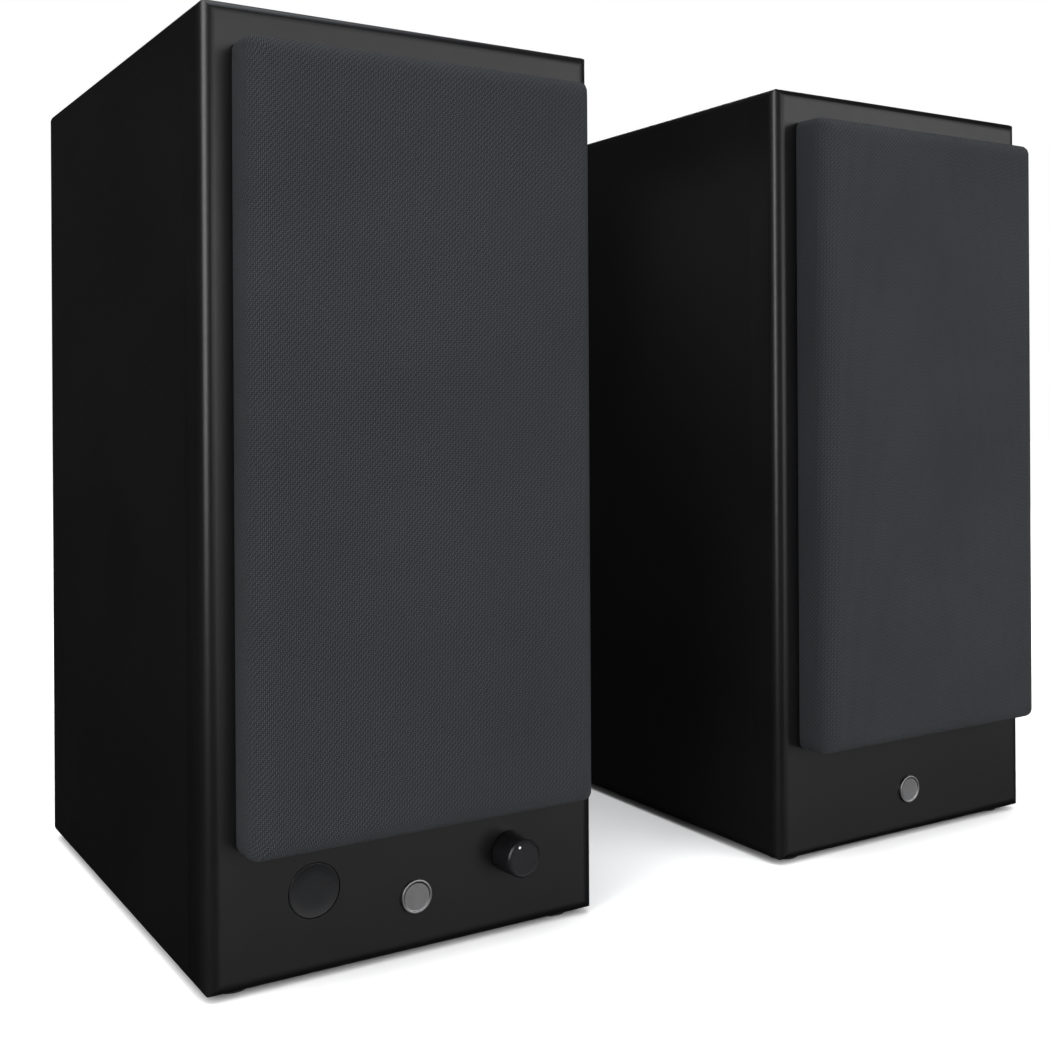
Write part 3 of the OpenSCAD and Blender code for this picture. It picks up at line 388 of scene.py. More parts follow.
def middle_of(node, y=None):
    """The middle of a CAD node's box, at depth y if that is given."""
    low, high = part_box(node)
    centre = (low + high) / 2
    return Vector((centre.x, centre.y if y is None else y, centre.z))


def rings_group():
    """Fine rings round a centre that lies on the piece's Y axis, as a lathe tool leaves."""
    tree = group_tree("turned_rings", {"Centre": None, "Rings per mm": 6.0}, {"Height": "NodeSocketFloat"})
    given, out = tree.nodes["Group Input"], tree.nodes["Group Output"]
    here = add_node(tree, "ShaderNodeTexCoord").outputs["Object"]
    off = add_node(tree, "ShaderNodeVectorMath", operation="SUBTRACT", i0=here, i1=given.outputs["Centre"])
    flat = add_node(tree, "ShaderNodeVectorMath", operation="MULTIPLY", i0=off.outputs[0], i1=(1, 0, 1))
    far = add_node(tree, "ShaderNodeVectorMath", operation="LENGTH", i0=flat.outputs[0]).outputs["Value"]
    scaled = calc(tree, "MULTIPLY", calc(tree, "MULTIPLY", far, 1000.0), given.outputs["Rings per mm"])
    tree.links.new(add_node(tree, "ShaderNodeTexNoise", noise_dimensions="1D", W=scaled, Scale=1.0,
                            Detail=2.0).outputs["Fac"], out.inputs["Height"])
    return tree


RINGS = rings_group()


def turned(made, centre, per_mm, depth):
    """Adds the marks of turning round centre to a dressed material."""
    tree = made.node_tree
    shader = tree.nodes["Principled BSDF"]
    marks = add_node(tree, "ShaderNodeGroup", node_tree=RINGS, Centre=centre, Rings_per_mm=per_mm)
    below = shader.inputs["Normal"].links[0].from_socket
    bump = add_node(tree, "ShaderNodeBump", Height=marks.outputs[0], Distance=depth, Strength=1.0,
                    Normal=below)
    tree.links.new(bump.outputs[0], shader.inputs["Normal"])
    return made


black_plastic = new_material("black_plastic", Specular_IOR_Level=0.45)
dress(black_plastic, (0.012, 0.012, 0.013), 0.42, grains=2.2, depth=0.000012, dust=0.08)
port_r, mouth_r, lip_r, lip_t, port_wall = 0.022, 0.031, 0.033, 0.002, 0.0025
flare_r = 0.008
for side in SIDES:
    low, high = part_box(f"{side}_port_tube")
    centre = middle_of(f"{side}_port_tube", high.y)
    flare = [(port_r + flare_r * (1 - math.cos(turn)), -flare_r + flare_r * math.sin(turn))
             for turn in (math.pi / 2 * (1 - k / 10) for k in range(11))]
    tube = flare + [(port_r, low.y - high.y), (port_r + port_wall, low.y - high.y),
                    (port_r + port_wall, -flare_r), (mouth_r, -flare_r), (mouth_r, -lip_t), (lip_r, -lip_t),
                    (lip_r, -0.0005), (lip_r - 0.0005, 0), flare[0]]
    belongs(lathe(f"{side}_port", centre, 1, tube, black_plastic, 96), "cabinets", "black_plastic",
            f"{side}_port_tube")

badge_r, badge_t = 0.0065, 0.0012
for k, side in enumerate(SIDES):
    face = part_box(f"{side}_baffle")[0].y
    low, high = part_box("badges")
    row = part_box(f"{side}_baffle")
    centre = Vector(((row[0].x + row[1].x) / 2, face, (low.z + high.z) / 2))
    brushed = new_material(f"{side}_brushed_metal", Metallic=1.0)
    dress(brushed, (0.42, 0.42, 0.43), 0.34, grains=3.0, depth=0.000002, dust=0.05, mottle=0.05)
    turned(brushed, centre, 7.0, 0.000006)
    disc = softened([(0, -0.0001), (badge_r, -0.0001), (badge_r, badge_t), (badge_r - 0.0009, badge_t),
                     (badge_r - 0.0012, badge_t - 0.00025), (0, badge_t - 0.00025)], 0.00025)
    piece = lathe(f"{side}_badge", centre, -1, disc, brushed)
    belongs(piece, "cabinets", "brushed_metal", *(("badges",) if k == 0 else ()))

window_low, window_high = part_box("status_window")
window_gap, window_dish = 0.0002, 0.00025
window_r, window_t = (window_high.x - window_low.x) / 2 - window_gap, window_high.y - window_low.y
smoked = new_material("smoked_window", Specular_IOR_Level=0.55)
dress(smoked, (0.0055, 0.0058, 0.0066), 0.26, grains=1.2, depth=0.0000004, spread=0.02, dust=0.02)
centre = middle_of("status_window", window_low.y)
dished = [(window_r * k / 12, -window_dish * (1 - (k / 12) ** 4)) for k in range(12, -1, -1)]
pane = softened([(0, -window_t), (window_r, -window_t), (window_r, 0), dished[1]], 0.0002) + dished[2:]
belongs(lathe("window_pane", centre, -1, pane, smoked), "cabinets", "smoked_window", "status_window")

# Knob: a turned cap with a shallow dished face inside a thin rim, and a light pointer dot let into the face that
# also stands for a glint on the face: a painted highlight
knob_low, knob_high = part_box("volume_knob")
knob_centre = middle_of("volume_knob", knob_high.y)
knob_len = knob_high.y - knob_low.y
foot_r, face_r, rim_w, dish, bore_r = 0.008, 0.0072, 0.0006, 0.0003, 0.00302
knob_metal = new_material("knob_metal", Metallic=0.55, Specular_IOR_Level=0.5)
dress(knob_metal, (0.018, 0.018, 0.020), 0.30, grains=3.0, depth=0.000003, dust=0.05)
turned(knob_metal, knob_centre, 5.0, 0.000004)
cap = softened([(bore_r, 0), (foot_r, 0), (face_r + 0.0003, knob_len - 0.0008), (face_r - 0.0004, knob_len),
                (face_r - rim_w, knob_len), (face_r - rim_w - 0.0003, knob_len - dish),
                (0, knob_len - dish)], 0.00022)
cap = [(0, knob_len - 0.003), (bore_r, knob_len - 0.003)] + cap
belongs(lathe("knob", knob_centre, -1, cap, knob_metal, 96), "volume", "knob_metal", "volume_knob")
dot_turn, dot_from_axis, dot_r = math.radians(24), 0.0052, 0.00055
# The pale dot is a pointer mark and also a painted highlight where a glint falls near the rim
pointer_dot_and_glint = new_material("pointer_dot_and_glint")
dress(pointer_dot_and_glint, (0.5, 0.5, 0.5), 0.4, grains=3.0, dust=0.02)
dot_at = knob_centre + Vector((-dot_from_axis * math.sin(dot_turn), 0, dot_from_axis * math.cos(dot_turn)))
dot_top = knob_len - dish + 0.00005
belongs(lathe("knob_dot_and_glint", dot_at, -1, softened([(0, dot_top - 0.0003), (dot_r, dot_top - 0.0003),
                                                (dot_r, dot_top), (0, dot_top)], 0.0001), pointer_dot_and_glint, 24),
        "volume", "knob_metal")


# ---- Grilles ------------------------------------------------------------------------------------
# Black twill stretched over a moulded frame with rounded edges and glued to its back. The frame
# pulls off: its four pegs sit in rubber cups in the front board.
def weave_group():
    """A 2/1 twill. Threads run along the two directions of the cut, which the UV map gives in metres. Height is
    the threads' relief; the other output is painted shade, dark in the gaps between threads and on threads that
    lie under, light on the crowns.
    """
    tree = group_tree("thread_weave", {"Threads per m": 1500.0}, {"Height": "NodeSocketFloat",
                                                                  "Painted Weave Shade": "NodeSocketFloat"})
    given, out = tree.nodes["Group Input"], tree.nodes["Group Output"]
    cut = add_node(tree, "ShaderNodeUVMap", uv_map="cut").outputs[0]
    count = add_node(tree, "ShaderNodeVectorMath", operation="SCALE", i0=cut,
                     Scale=given.outputs["Threads per m"]).outputs[0]
    split = add_node(tree, "ShaderNodeSeparateXYZ", Vector=count)
    crown = []
    for axis in "XY":
        part = calc(tree, "FRACT", split.outputs[axis])
        crown.append(calc(tree, "SINE", calc(tree, "MULTIPLY", part, math.pi)))
    steps = calc(tree, "SUBTRACT", calc(tree, "FLOOR", split.outputs["X"]),
                 calc(tree, "FLOOR", split.outputs["Y"]))
    place = calc(tree, "FLOORED_MODULO", steps, 3.0)
    upright_on_top = calc(tree, "LESS_THAN", place, 1.5)
    across = add_node(tree, "ShaderNodeMix", data_type="FLOAT", Factor=upright_on_top,
                      i2=crown[1], i3=crown[0]).outputs[0]
    along = add_node(tree, "ShaderNodeMix", data_type="FLOAT", Factor=upright_on_top,
                     i2=crown[0], i3=crown[1]).outputs[0]
    bead = calc(tree, "MULTIPLY_ADD", along, 0.35, 0.65)
    body = calc(tree, "MULTIPLY", calc(tree, "POWER", across, 0.7), bead)
    fuzz = add_node(tree, "ShaderNodeTexNoise", Vector=count, Scale=2.3, Detail=2.0).outputs["Fac"]
    tree.links.new(calc(tree, "MULTIPLY_ADD", fuzz, 0.25, body), out.inputs["Height"])
    # Threads that lie under another are painted darker: painted shade
    under_thread_shade = add_node(tree, "ShaderNodeMix", data_type="FLOAT", Factor=upright_on_top, i2=0.62, i3=1.0).outputs[0]
    tree.links.new(calc(tree, "MULTIPLY", body, under_thread_shade), out.inputs["Painted Weave Shade"])
    return tree


WEAVE = weave_group()
grille_black = new_material("grille_cloth", Sheen_Weight=0.02, Sheen_Roughness=0.5)
grille_black.node_tree.nodes["Principled BSDF"].inputs["Specular IOR Level"].default_value = 0.1
dress(grille_black, (0.0165, 0.0175, 0.0195), 0.85, grains=2.0, depth=0.00001, dust=0.04, mottle=0.06)
tree = grille_black.node_tree
shader = tree.nodes["Principled BSDF"]
weave = add_node(tree, "ShaderNodeGroup", node_tree=WEAVE)
weave.inputs["Threads per m"].default_value = 1500.0
# The weave's brightness scales the cloth's colour: painted shade in the gaps between threads and on threads that
# lie under, lighter on the crowns
shade = add_node(tree, "ShaderNodeMapRange", Value=weave.outputs["Painted Weave Shade"], From_Min=0.1, From_Max=0.9,
                 To_Min=0.12, To_Max=1.9).outputs[0]
plain = shader.inputs["Base Color"].links[0].from_socket
weave_shaded_colour = add_node(tree, "ShaderNodeVectorMath", operation="SCALE", i0=plain, Scale=shade).outputs[0]
tree.links.new(weave_shaded_colour, shader.inputs["Base Color"])
relief = add_node(tree, "ShaderNodeBump", Height=weave.outputs["Height"], Distance=0.00016, Strength=0.8)
tree.links.new(relief.outputs[0], shader.inputs["Normal"])


def wrapped_cloth(name, low, high, edge_r, corner_r, hem, material):
    """Cloth over a block whose front is at low.y: flat front, front edges of radius edge_r, outline corners
    of radius corner_r, sides back to high.y, and a hem folded in behind. Gives the piece, the size of the
    flat cut and its area."""
    across = [low.x + edge_r + k * (high.x - low.x - 2 * edge_r) / 46 for k in range(47)]
    upward = [low.z + edge_r + k * (high.z - low.z - 2 * edge_r) / 96 for k in range(97)]
    arc, depth, fold_r = edge_r * math.pi / 2, high.y - low.y, 0.0006
    side = depth - edge_r - fold_r
    fold = fold_r * math.pi / 2
    stops = ([arc * k / 7 for k in range(1, 8)] + [arc + side * k / 3 for k in range(1, 4)]
             + [arc + side + fold * k / 3 for k in range(1, 4)] + [arc + side + fold + hem])
    middle_x, middle_z = (low.x + high.x) / 2, (low.z + high.z) / 2

    def spread(turn):
        """How far the outline lies in direction turn, as a multiple of edge_r."""
        c, n = abs(math.cos(turn)), abs(math.sin(turn))
        inset = (edge_r - corner_r) / edge_r
        if min(c, n) / max(c, n) <= inset:
            return 1 / max(c, n)
        along = inset * (c + n)
        return along + math.sqrt(along ** 2 - 2 * inset ** 2 + (corner_r / edge_r) ** 2)

    def at(reach):
        """How far out from the flat front's edge, and how deep, the cloth is after that much of it."""
        if reach <= arc:
            return edge_r * math.sin(reach / edge_r), edge_r * (1 - math.cos(reach / edge_r))
        if reach <= arc + side:
            return edge_r, edge_r + reach - arc
        if reach <= arc + side + fold:
            turn = (reach - arc - side) / fold_r
            return edge_r - fold_r * (1 - math.cos(turn)), edge_r + side + fold_r * math.sin(turn)
        return edge_r - fold_r - (reach - arc - side - fold), depth

    shape = bmesh.new()
    uv = shape.loops.layers.uv.new("cut")
    flat_at = {}

    def vertex(x, z, turn, reach):
        """The cloth's point that lies reach out from (x, z) on the flat front, in direction turn."""
        pucker = 0.0
        if turn is not None:
            out, deep = at(reach)
            out *= spread(turn)
            wave = math.sin(turn * 2) ** 2 * math.sin(turn * 14 + x * 900)
            pucker = 0.00016 * wave * min(1, reach / arc)
            dx, dz = math.cos(turn), math.sin(turn)
        else:
            out, deep, dx, dz = 0, 0, 0, 0
        made = shape.verts.new((x + dx * (out - abs(pucker)), low.y + deep, z + dz * (out - abs(pucker))))
        flat_at[made] = (x - middle_x + dx * reach, z - middle_z + dz * reach)
        return made

    grid = [[vertex(x, z, None, 0) for z in upward] for x in across]
    for i in range(len(across) - 1):
        for j in range(len(upward) - 1):
            shape.faces.new((grid[i][j], grid[i + 1][j], grid[i + 1][j + 1], grid[i][j + 1]))
    border = []
    fan = 8
    last_x, last_z = len(across) - 1, len(upward) - 1
    sweeps = [([(i, 0) for i in range(last_x + 1)], -90), ([(last_x, j) for j in range(last_z + 1)], 0),
              ([(i, last_z) for i in range(last_x, -1, -1)], 90), ([(0, j) for j in range(last_z, -1, -1)], 180)]
    for edge, turn in sweeps:
        border += [(i, j, turn) for i, j in edge]
        i, j = edge[-1]
        border += [(i, j, turn + 90 * k / fan) for k in range(1, fan)]
    ring = [grid[i][j] for i, j, _ in border]
    for reach in stops:
        outer = [vertex(across[i], upward[j], math.radians(turn), reach) for i, j, turn in border]
        for k in range(len(border)):
            n = (k + 1) % len(border)
            shape.faces.new(list(dict.fromkeys((ring[k], outer[k], outer[n], ring[n]))))
        ring = outer
    for face in shape.faces:
        for loop in face.loops:
            loop[uv].uv = flat_at[loop.vert]
    bmesh.ops.recalc_face_normals(shape, faces=shape.faces)
    if next(iter(grid[20][40].link_faces)).normal.y > 0:
        bmesh.ops.reverse_faces(shape, faces=shape.faces)
    reach = stops[-1]
    wide, tall = high.x - low.x - 2 * edge_r + 2 * reach, high.z - low.z - 2 * edge_r + 2 * reach
    area = sum(face.calc_area() for face in shape.faces)
    mesh = bpy.data.meshes.new(name)
    shape.to_mesh(mesh)
    shape.free()
    piece = new_object(name, mesh, material)
    mesh.shade_smooth()
    thick = piece.modifiers.new("cloth_thickness", "SOLIDIFY")
    thick.thickness, thick.offset = 0.0005, -1
    return piece, (wide, tall), area


for side in SIDES:
    low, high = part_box(f"{side}_grille_cloth")
    cloth, cut_size, cut_area = wrapped_cloth(f"{side}_cloth", low, high, 0.008, 0.003, 0.004, grille_black)
    belongs(cloth, f"{side}_grille", "grille_cloth", f"{side}_grille_cloth")
    eased_copy(f"{side}_grille_frame", f"{side}_frame", f"{side}_grille", "black_plastic", black_plastic,
               0.0003)


# ---- Woofers ------------------------------------------------------------------------------------
# A stamped frame screwed into a rebate in the front board, a pressed paper cone with a rubber half
# roll, and a dust cap over the voice coil. The ring magnet and its plates hang behind.
rubber = new_material("black_rubber", Specular_IOR_Level=0.4)
dress(rubber, (0.013, 0.013, 0.013), 0.5, grains=1.6, depth=0.000015, dust=0.1)
frame_coat = new_material("driver_frame", Specular_IOR_Level=0.5)
dress(frame_coat, (0.014, 0.014, 0.015), 0.42, grains=2.4, depth=0.000012, dust=0.08)
paper = new_material("woofer_cone", Specular_IOR_Level=0.25)
dress(paper, (0.022, 0.022, 0.023), 0.66, grains=1.1, depth=0.00004, coarse=0.45, dust=0.06, mottle=0.25)
cap_coat = new_material("dust_cap", Specular_IOR_Level=0.4)
dress(cap_coat, (0.015, 0.015, 0.016), 0.4, grains=1.4, depth=0.00001, dust=0.06)
cone_sink, cone_depth, cone_t, lip_out_r, lip_in_r, neck_r = 0.008, 0.019, 0.0009, 0.0429, 0.0399, 0.0133
cap_r, crown_h = 0.0175, 0.0065
ledge, roll_out_r, roll_r, rubber_t, rim_r = -0.0032, 0.0525, 0.0045, 0.0006, 0.0572


def cone_height(radius):
    """Height of the cone's front, forward of the board, at that radius."""
    share = (lip_in_r - radius) / (lip_in_r - neck_r)
    return -cone_sink - cone_depth * share ** 1.2


def cap_profile(radius, height, base, thickness):
    """A shallow dome as a closed shell."""
    ball = (radius ** 2 + height ** 2) / (2 * height)
    arc = [radius * k / 14 for k in range(15)]
    outer = [(r, base + height - ball + math.sqrt(ball ** 2 - r ** 2)) for r in arc]
    return outer + [(r, h - thickness) for r, h in reversed(outer)]


for side in SIDES:
    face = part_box(f"{side}_baffle")[0].y
    hub = middle_of(f"{side}_woofer_frame", face)
    mover = f"{side}_woofer_moving"
    eased_copy(f"{side}_woofer_frame", f"{side}_basket", "cabinets", "driver_frame", frame_coat, 0.0004)
    radii = [lip_in_r + (neck_r - lip_in_r) * k / 18 for k in range(19)]
    front = [(lip_out_r, -cone_sink)] + [(r, cone_height(r)) for r in radii]
    cone = front + [(r, h - cone_t) for r, h in reversed(front)] + [front[0]]
    belongs(lathe(f"{side}_cone", hub, -1, cone, paper, 96), mover, "woofer_cone", f"{side}_woofer_cone")
    belongs(lathe(f"{side}_cap", hub, -1, cap_profile(cap_r, crown_h, cone_height(cap_r), cone_t), cap_coat),
            mover, "dust_cap", f"{side}_woofer_dust_cap")
    roll_mid = roll_out_r - roll_r
    over = [(roll_mid + roll_r * math.cos(t), ledge + roll_r * math.sin(t))
            for t in (math.pi * k / 16 for k in range(17))]
    under = [(roll_mid + (roll_r - rubber_t) * math.cos(t), ledge + (roll_r - rubber_t) * math.sin(t))
             for t in (math.pi * (1 - k / 16) for k in range(17))]
    skirt = [(roll_mid - roll_r, ledge - (cone_sink + ledge) * k / 6) for k in range(1, 7)]
    inner_skirt = [(r + rubber_t, h) for r, h in reversed(skirt)]
    roll = ([(rim_r, ledge), (rim_r, ledge + rubber_t), (roll_out_r, ledge + rubber_t)] + over[1:] + skirt[:-1]
            + [(roll_mid - roll_r, -cone_sink + rubber_t), (lip_in_r, -cone_sink + rubber_t),
               (lip_in_r, -cone_sink), (roll_mid - roll_r + rubber_t, -cone_sink)]
            + inner_skirt[1:] + under + [(rim_r, ledge)])
    surround = lathe(f"{side}_surround", hub, -1, roll, rubber, 96)
    surround.modifiers.clear()
    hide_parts(f"{side}_woofer_surround")
    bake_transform(surround)


# ---- Tweeters -----------------------------------------------------------------------------------
# A soft dome with a small roll in the throat of a moulded faceplate, screwed into its own rebate.
silk = new_material("dome_fabric", Sheen_Weight=0.1, Specular_IOR_Level=0.35)
dress(silk, (0.010, 0.010, 0.011), 0.5, grains=4.0, depth=0.00001, dust=0.03)
coil_wire = new_material("coil_wire", Metallic=1.0)
dress(coil_wire, (0.60, 0.26, 0.12), 0.35, grains=1.5, depth=0.00001)
dome_r, dome_h, dome_foot, silk_t = 0.0125, 0.005, -0.0044, 0.0003
former_in, wire_out = dome_r - 0.00025, dome_r + 0.0004
coil_low, wire_top = dome_foot - 0.004, dome_foot - 0.001
for side in SIDES:
    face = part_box(f"{side}_baffle")[0].y
    hub = middle_of(f"{side}_tweeter_faceplate", face)
    eased_copy(f"{side}_tweeter_faceplate", f"{side}_faceplate", "cabinets", "black_plastic", black_plastic,
               0.0004)
    small_roll = [(dome_r + 0.0013 + 0.0014 * math.cos(t), dome_foot + 0.0014 * math.sin(t))
                  for t in (math.pi * (1 - k / 8) for k in range(9))]
    dome = cap_profile(dome_r, dome_h, dome_foot, silk_t)
    half = len(dome) // 2
    dome = dome[:half] + small_roll + [(r, h - silk_t) for r, h in reversed(small_roll)] + dome[half:]
    belongs(lathe(f"{side}_dome", hub, -1, dome, silk), f"{side}_tweeter_moving", "dome_fabric",
            f"{side}_tweeter_dome")
    winding = [(former_in, coil_low), (wire_out, coil_low), (wire_out, wire_top), (dome_r, wire_top),
               (dome_r, dome_foot), (former_in, dome_foot), (former_in, coil_low)]
    belongs(lathe(f"{side}_dome_coil", hub, -1, winding, coil_wire), f"{side}_tweeter_moving", "dome_fabric")


# ---- Screws and feet ----------------------------------------------------------------------------
# Black socket-head screws hold the drivers, the amplifier's plate and the terminal cup. Each
# cabinet stands on four rubber feet, pressed on near its corners.
def node_maker(tree):
    """A short way to add a geometry node and link or set its inputs."""
    def make(kind, **settings):
        return add_node(tree, kind, **settings)
    return make


def instanced_tree(name, inputs, build):
    """A geometry tree that puts what build makes on every point, turned along the point's out vector."""
    tree = bpy.data.node_groups.new(name, "GeometryNodeTree")
    tree.interface.new_socket("Geometry", in_out="INPUT", socket_type="NodeSocketGeometry")
    for socket, value in inputs.items():
        tree.interface.new_socket(socket, in_out="INPUT", socket_type="NodeSocketFloat").default_value = value
    tree.interface.new_socket("Material", in_out="INPUT", socket_type="NodeSocketMaterial")
    tree.interface.new_socket("Geometry", in_out="OUTPUT", socket_type="NodeSocketGeometry")
    given, out = tree.nodes.new("NodeGroupInput"), tree.nodes.new("NodeGroupOutput")
    make = node_maker(tree)
    one = build(make, given)
    heading = make("GeometryNodeInputNamedAttribute", data_type="FLOAT_VECTOR")
    heading.inputs["Name"].default_value = "out"
    turn = make("FunctionNodeAlignRotationToVector", axis="Z")
    tree.links.new(heading.outputs[0], turn.inputs["Vector"])
    spread = make("GeometryNodeInstanceOnPoints")
    tree.links.new(given.outputs["Geometry"], spread.inputs["Points"])
    tree.links.new(one, spread.inputs["Instance"])
    tree.links.new(turn.outputs[0], spread.inputs["Rotation"])
    real = make("GeometryNodeRealizeInstances")
    tree.links.new(spread.outputs[0], real.inputs[0])
    coloured = make("GeometryNodeSetMaterial")
    tree.links.new(real.outputs[0], coloured.inputs["Geometry"])
    tree.links.new(given.outputs["Material"], coloured.inputs["Material"])
    tree.links.new(coloured.outputs[0], out.inputs[0])
    return tree


def build_screw(make, given):
    """Head with a six-sided socket and an eased edge, on a plain shank."""
    tree = given.id_data
    rims = []
    for sides, size in ((24, "Head Radius"), (6, "Socket Radius")):
        rims.append(make("GeometryNodeCurvePrimitiveCircle", Resolution=sides, Radius=given.outputs[size]))
    joined = make("GeometryNodeJoinGeometry")
    for rim in rims:
        tree.links.new(rim.outputs[0], joined.inputs[0])
    top = make("GeometryNodeFillCurve", Curve=joined.outputs[0])
    main = make("GeometryNodeExtrudeMesh", Mesh=top.outputs[0], Individual=False)
    tree.links.new(calc(tree, "MULTIPLY", given.outputs["Head Height"], 0.75), main.inputs["Offset Scale"])
    easing = make("GeometryNodeExtrudeMesh", Mesh=main.outputs["Mesh"], Selection=main.outputs["Top"],
                  Individual=False)
    tree.links.new(calc(tree, "MULTIPLY", given.outputs["Head Height"], 0.25), easing.inputs["Offset Scale"])
    tapered = make("GeometryNodeScaleElements", Geometry=easing.outputs["Mesh"],
                   Selection=easing.outputs["Top"], Scale=0.9)
    floor = make("GeometryNodeMeshCircle", fill_type="NGON", Vertices=24, Radius=given.outputs["Head Radius"])
    shank = make("GeometryNodeMeshCylinder", Vertices=12, Radius=given.outputs["Shank Radius"],
                 Depth=given.outputs["Shank Length"])
    lower = make("ShaderNodeCombineXYZ")
    tree.links.new(calc(tree, "MULTIPLY", given.outputs["Shank Length"], -0.5), lower.inputs["Z"])
    moved = make("GeometryNodeTransform", Geometry=shank.outputs[0], Translation=lower.outputs[0])
    whole = make("GeometryNodeJoinGeometry")
    for part in (tapered.outputs[0], floor.outputs[0], moved.outputs[0]):
        tree.links.new(part, whole.inputs[0])
    return whole.outputs[0]


def build_foot(make, given):
    """A short rubber pad, a plain cylinder standing on the table."""
    tree = given.id_data
    pad = make("GeometryNodeMeshCylinder", Vertices=40, Radius=given.outputs["Radius"],
               Depth=given.outputs["Height"])
    up = make("ShaderNodeCombineXYZ")
    tree.links.new(calc(tree, "MULTIPLY", given.outputs["Height"], 0.5), up.inputs["Z"])
    return make("GeometryNodeTransform", Geometry=pad.outputs[0], Translation=up.outputs[0]).outputs[0]


def repeated(name, tree, values, material, places, body, slot, node):
    """One mesh with a copy of the tree's piece at each (place, out direction), standing for a CAD node."""
    dots = bpy.data.meshes.new(f"{name}_places")
    dots.from_pydata([place for place, _ in places], [], [])
    heading = dots.attributes.new("out", "FLOAT_VECTOR", "POINT")
    for k, (_, out) in enumerate(places):
        heading.data[k].vector = out
    holder = new_object(name, dots)
    build = holder.modifiers.new("build", "NODES")
    build.node_group = tree
    wanted = dict(values, Material=material)
    for item in tree.interface.items_tree:
        if item.in_out == "INPUT" and item.name in wanted:
            build[item.identifier] = wanted[item.name]
    whole = bpy.data.meshes.new_from_object(holder.evaluated_get(bpy.context.evaluated_depsgraph_get()))
    holder.modifiers.clear()
    holder.data = whole
    whole.set_sharp_from_angle(angle=math.radians(35))
    return belongs(holder, body, slot, node)


SCREW = instanced_tree("socket_screw", {"Head Radius": 0.0033, "Head Height": 0.002, "Socket Radius": 0.0016,
                                        "Shank Radius": 0.00175, "Shank Length": 0.0105}, build_screw)
FOOT = instanced_tree("rubber_foot", {"Radius": 0.007, "Height": 0.002}, build_foot)
black_steel = new_material("black_screws", Metallic=0.8)
dress(black_steel, (0.03, 0.03, 0.032), 0.36, grains=3.0, depth=0.000004, dust=0.05)


def ring_places(hub, radius, y, out):
    """Four places on a circle round hub, at 45 degrees, at depth y."""
    return [(Vector((hub.x + radius * math.cos(turn), y, hub.z + radius * math.sin(turn))), (0, out, 0))
            for turn in (math.radians(45 + 90 * k) for k in range(4))]


screw_seat, woofer_screws_r, tweeter_screws_r = 0.0022, 0.0628, 0.0425
driver_places = []
for side in SIDES:
    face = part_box(f"{side}_baffle")[0].y
    for node, ring_r in ((f"{side}_woofer_frame", woofer_screws_r),
                         (f"{side}_tweeter_faceplate", tweeter_screws_r)):
        driver_places += ring_places(middle_of(node), ring_r, face + screw_seat, -1)
repeated("driver_screws_made", SCREW, {}, black_steel, driver_places, "cabinets", "black_screws",
         "driver_screws")

plate_low, plate_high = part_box("amp_plate")
plate_mid, screw_in = (plate_low + plate_high) / 2, 0.004
plate_places = [(Vector((x, plate_high.y, z)), (0, 1, 0))
                for x in (plate_low.x + screw_in, plate_mid.x, plate_high.x - screw_in)
                for z in (plate_low.z + screw_in, plate_mid.z, plate_high.z - screw_in)
                if (x, z) != (plate_mid.x, plate_mid.z)]
cup_screws_r, cup_face = 0.039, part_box("terminal_cup")[1].y
plate_places += ring_places(middle_of("terminal_cup"), cup_screws_r, cup_face, 1)
repeated("plate_screws_made", SCREW, {}, black_steel, plate_places, "cabinets", "black_screws",
         "plate_screws")

foot_inset = 0.014
foot_places = []
for side in SIDES:
    low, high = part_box(f"{side}_cabinet")
    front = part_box(f"{side}_baffle")[0].y
    foot_places += [(Vector((x, y, 0)), (0, 0, 1)) for x in (low.x + foot_inset, high.x - foot_inset)
                    for y in (front + foot_inset, high.y - foot_inset)]
repeated("feet_made", FOOT, {}, rubber, foot_places, "cabinets", "black_rubber", "feet")


# ---- Amplifier panel ----------------------------------------------------------------------------
# A powder-coated steel plate screwed over a hole in the active cabinet's back. It carries three line
# sockets, a mini jack, the speaker terminals, the mains inlet and the power switch.
powder = new_material("amp_plate", Specular_IOR_Level=0.45)
dress(powder, (0.011, 0.011, 0.012), 0.5, grains=2.6, depth=0.00003, coarse=0.2, dust=0.08)
nickel = new_material("plated_sockets", Metallic=1.0)
dress(nickel, (0.55, 0.54, 0.52), 0.22, grains=3.0, depth=0.000002, dust=0.05)
gilt = new_material("plated_posts", Metallic=1.0)
dress(gilt, (0.72, 0.52, 0.24), 0.22, grains=3.0, depth=0.000002, dust=0.05)
red_plastic = new_material("red_plastic", Specular_IOR_Level=0.5)
dress(red_plastic, (0.32, 0.012, 0.010), 0.35, grains=2.0, depth=0.000008, dust=0.06)
for node, body, slot, material, ease in (
        ("amp_plate", "cabinets", "amp_plate", powder, 0.0003),
        ("line_sockets", "cabinets", "plated_sockets", nickel, 0.00025),
        ("mains_inlet", "cabinets", "black_plastic", black_plastic, 0.0003),
        ("power_switch", "cabinets", "black_plastic", black_plastic, 0.0002),
        ("power_rocker", "rocker", "black_plastic", black_plastic, 0.0003),
        ("terminal_cup", "cabinets", "black_plastic", black_plastic, 0.0003),
        ("binding_posts", "cabinets", "plated_posts", gilt, 0.0002),
        ("active_red_cap", "active_red_terminal", "red_plastic", red_plastic, 0.0003),
        ("active_black_cap", "active_black_terminal", "black_plastic", black_plastic, 0.0003),
        ("passive_red_cap", "passive_red_terminal", "red_plastic", red_plastic, 0.0003),
        ("passive_black_cap", "passive_black_terminal", "black_plastic", black_plastic, 0.0003)):
    eased_copy(node, f"{node}_finished", body, slot, material, ease, whole=node != "terminal_cup")

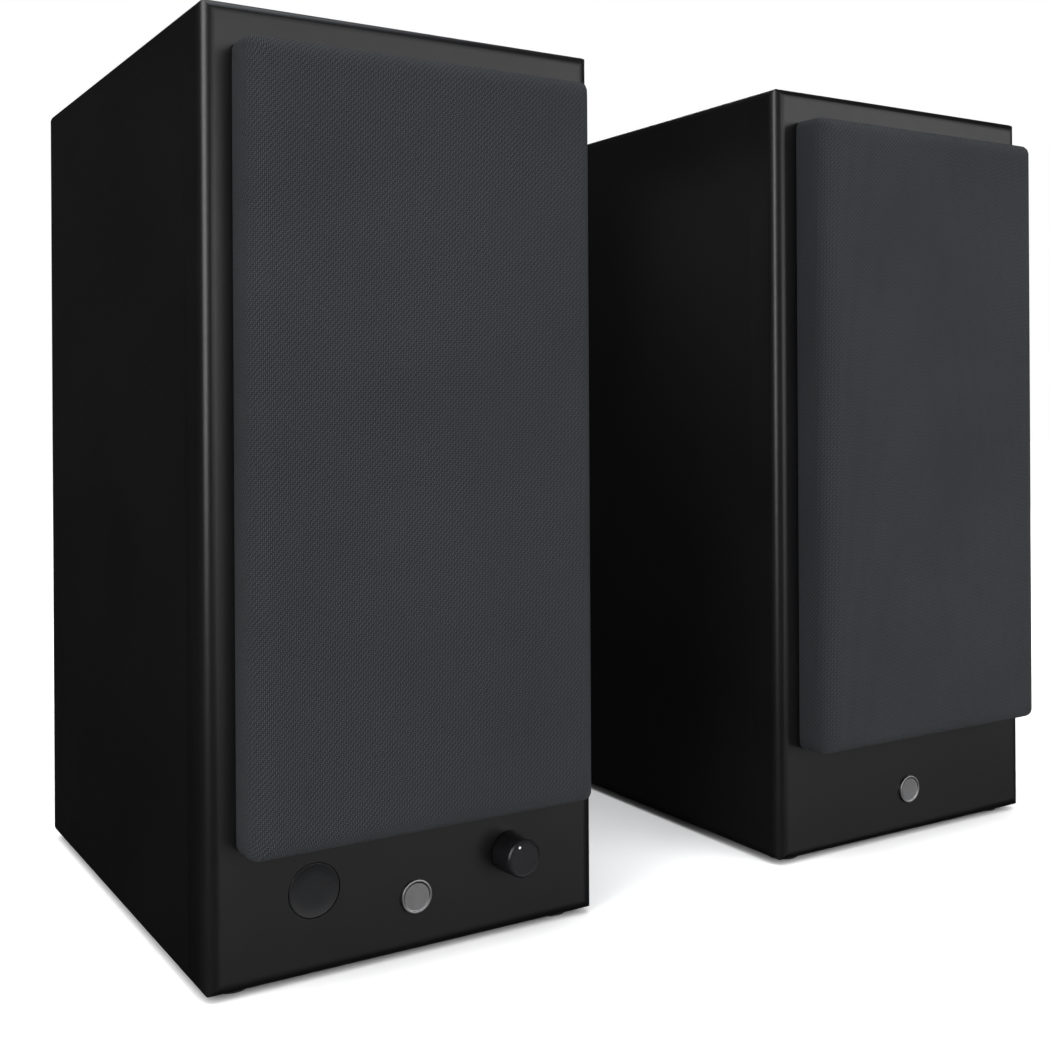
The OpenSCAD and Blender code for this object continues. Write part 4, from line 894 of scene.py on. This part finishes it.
# A coloured insulator fills each line socket, round its centre hole
line_reach, line_in_r, hole_r = 0.009, 0.0032, 0.0016
for name, across, colour in (("left_line", -0.042, (0.5, 0.5, 0.48)),
                             ("right_line", -0.024, (0.4, 0.015, 0.012)),
                             ("sub_line", 0.036, (0.015, 0.015, 0.016))):
    insulator = new_material(f"{name}_insulator", Specular_IOR_Level=0.45)
    dress(insulator, colour, 0.38, grains=2.5, dust=0.05)
    at = Vector((plate_mid.x - across, plate_high.y, plate_mid.z + 0.062))
    tip = line_reach + 0.00006
    washer = [(hole_r, tip - 0.0008), (line_in_r, tip - 0.0008), (line_in_r, tip), (hole_r, tip),
              (hole_r, tip - 0.0008)]
    belongs(lathe(name, at, 1, washer, insulator, 40), "cabinets", "plated_sockets")


# ---- Inside -------------------------------------------------------------------------------------
# What the boards and the drivers hide: the motors, the crossovers, the amplifier's board and
# transformer, the wadding, the peg cups and the volume control. They keep their CAD shapes.
inner_looks = {
    "ferrite": ((0.030, 0.030, 0.032), 0.7, 0.0), "plain_steel": ((0.42, 0.42, 0.43), 0.35, 1.0),
    "copper": ((0.60, 0.26, 0.12), 0.35, 1.0), "spider_fabric": ((0.50, 0.33, 0.12), 0.85, 0.0),
    "circuit_board": ((0.012, 0.075, 0.030), 0.45, 0.0), "wadding": ((0.72, 0.71, 0.68), 0.95, 0.0)}
inner_made = {"black_rubber": rubber}
for look, (colour, rough, metallic) in inner_looks.items():
    inner_made[look] = dress(new_material(look, Metallic=metallic), colour, rough, grains=1.5, depth=0.00002)
inside = {"ferrite": ["woofer_magnet"], "plain_steel": ["woofer_pole_pieces", "tweeter_motor"],
          "copper": ["woofer_coil"], "spider_fabric": ["woofer_spider"], "circuit_board": ["crossover"]}
inside = {look: [f"{side}_{part}" for side in SIDES for part in parts] for look, parts in inside.items()}
inside["plain_steel"] += ["volume_shaft", "volume_control"]
inside["copper"].append("transformer")
inside["circuit_board"] += ["status_board", "amp_board"]
inside["wadding"] = ["wadding"]
inside["black_rubber"] = ["grille_cups"]
for look, nodes in inside.items():
    for node in nodes:
        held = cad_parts[node]
        held.data.materials.clear()
        held.data.materials.append(inner_made[look])
        held.data.shade_smooth()
        held.data.set_sharp_from_angle(angle=math.radians(32))
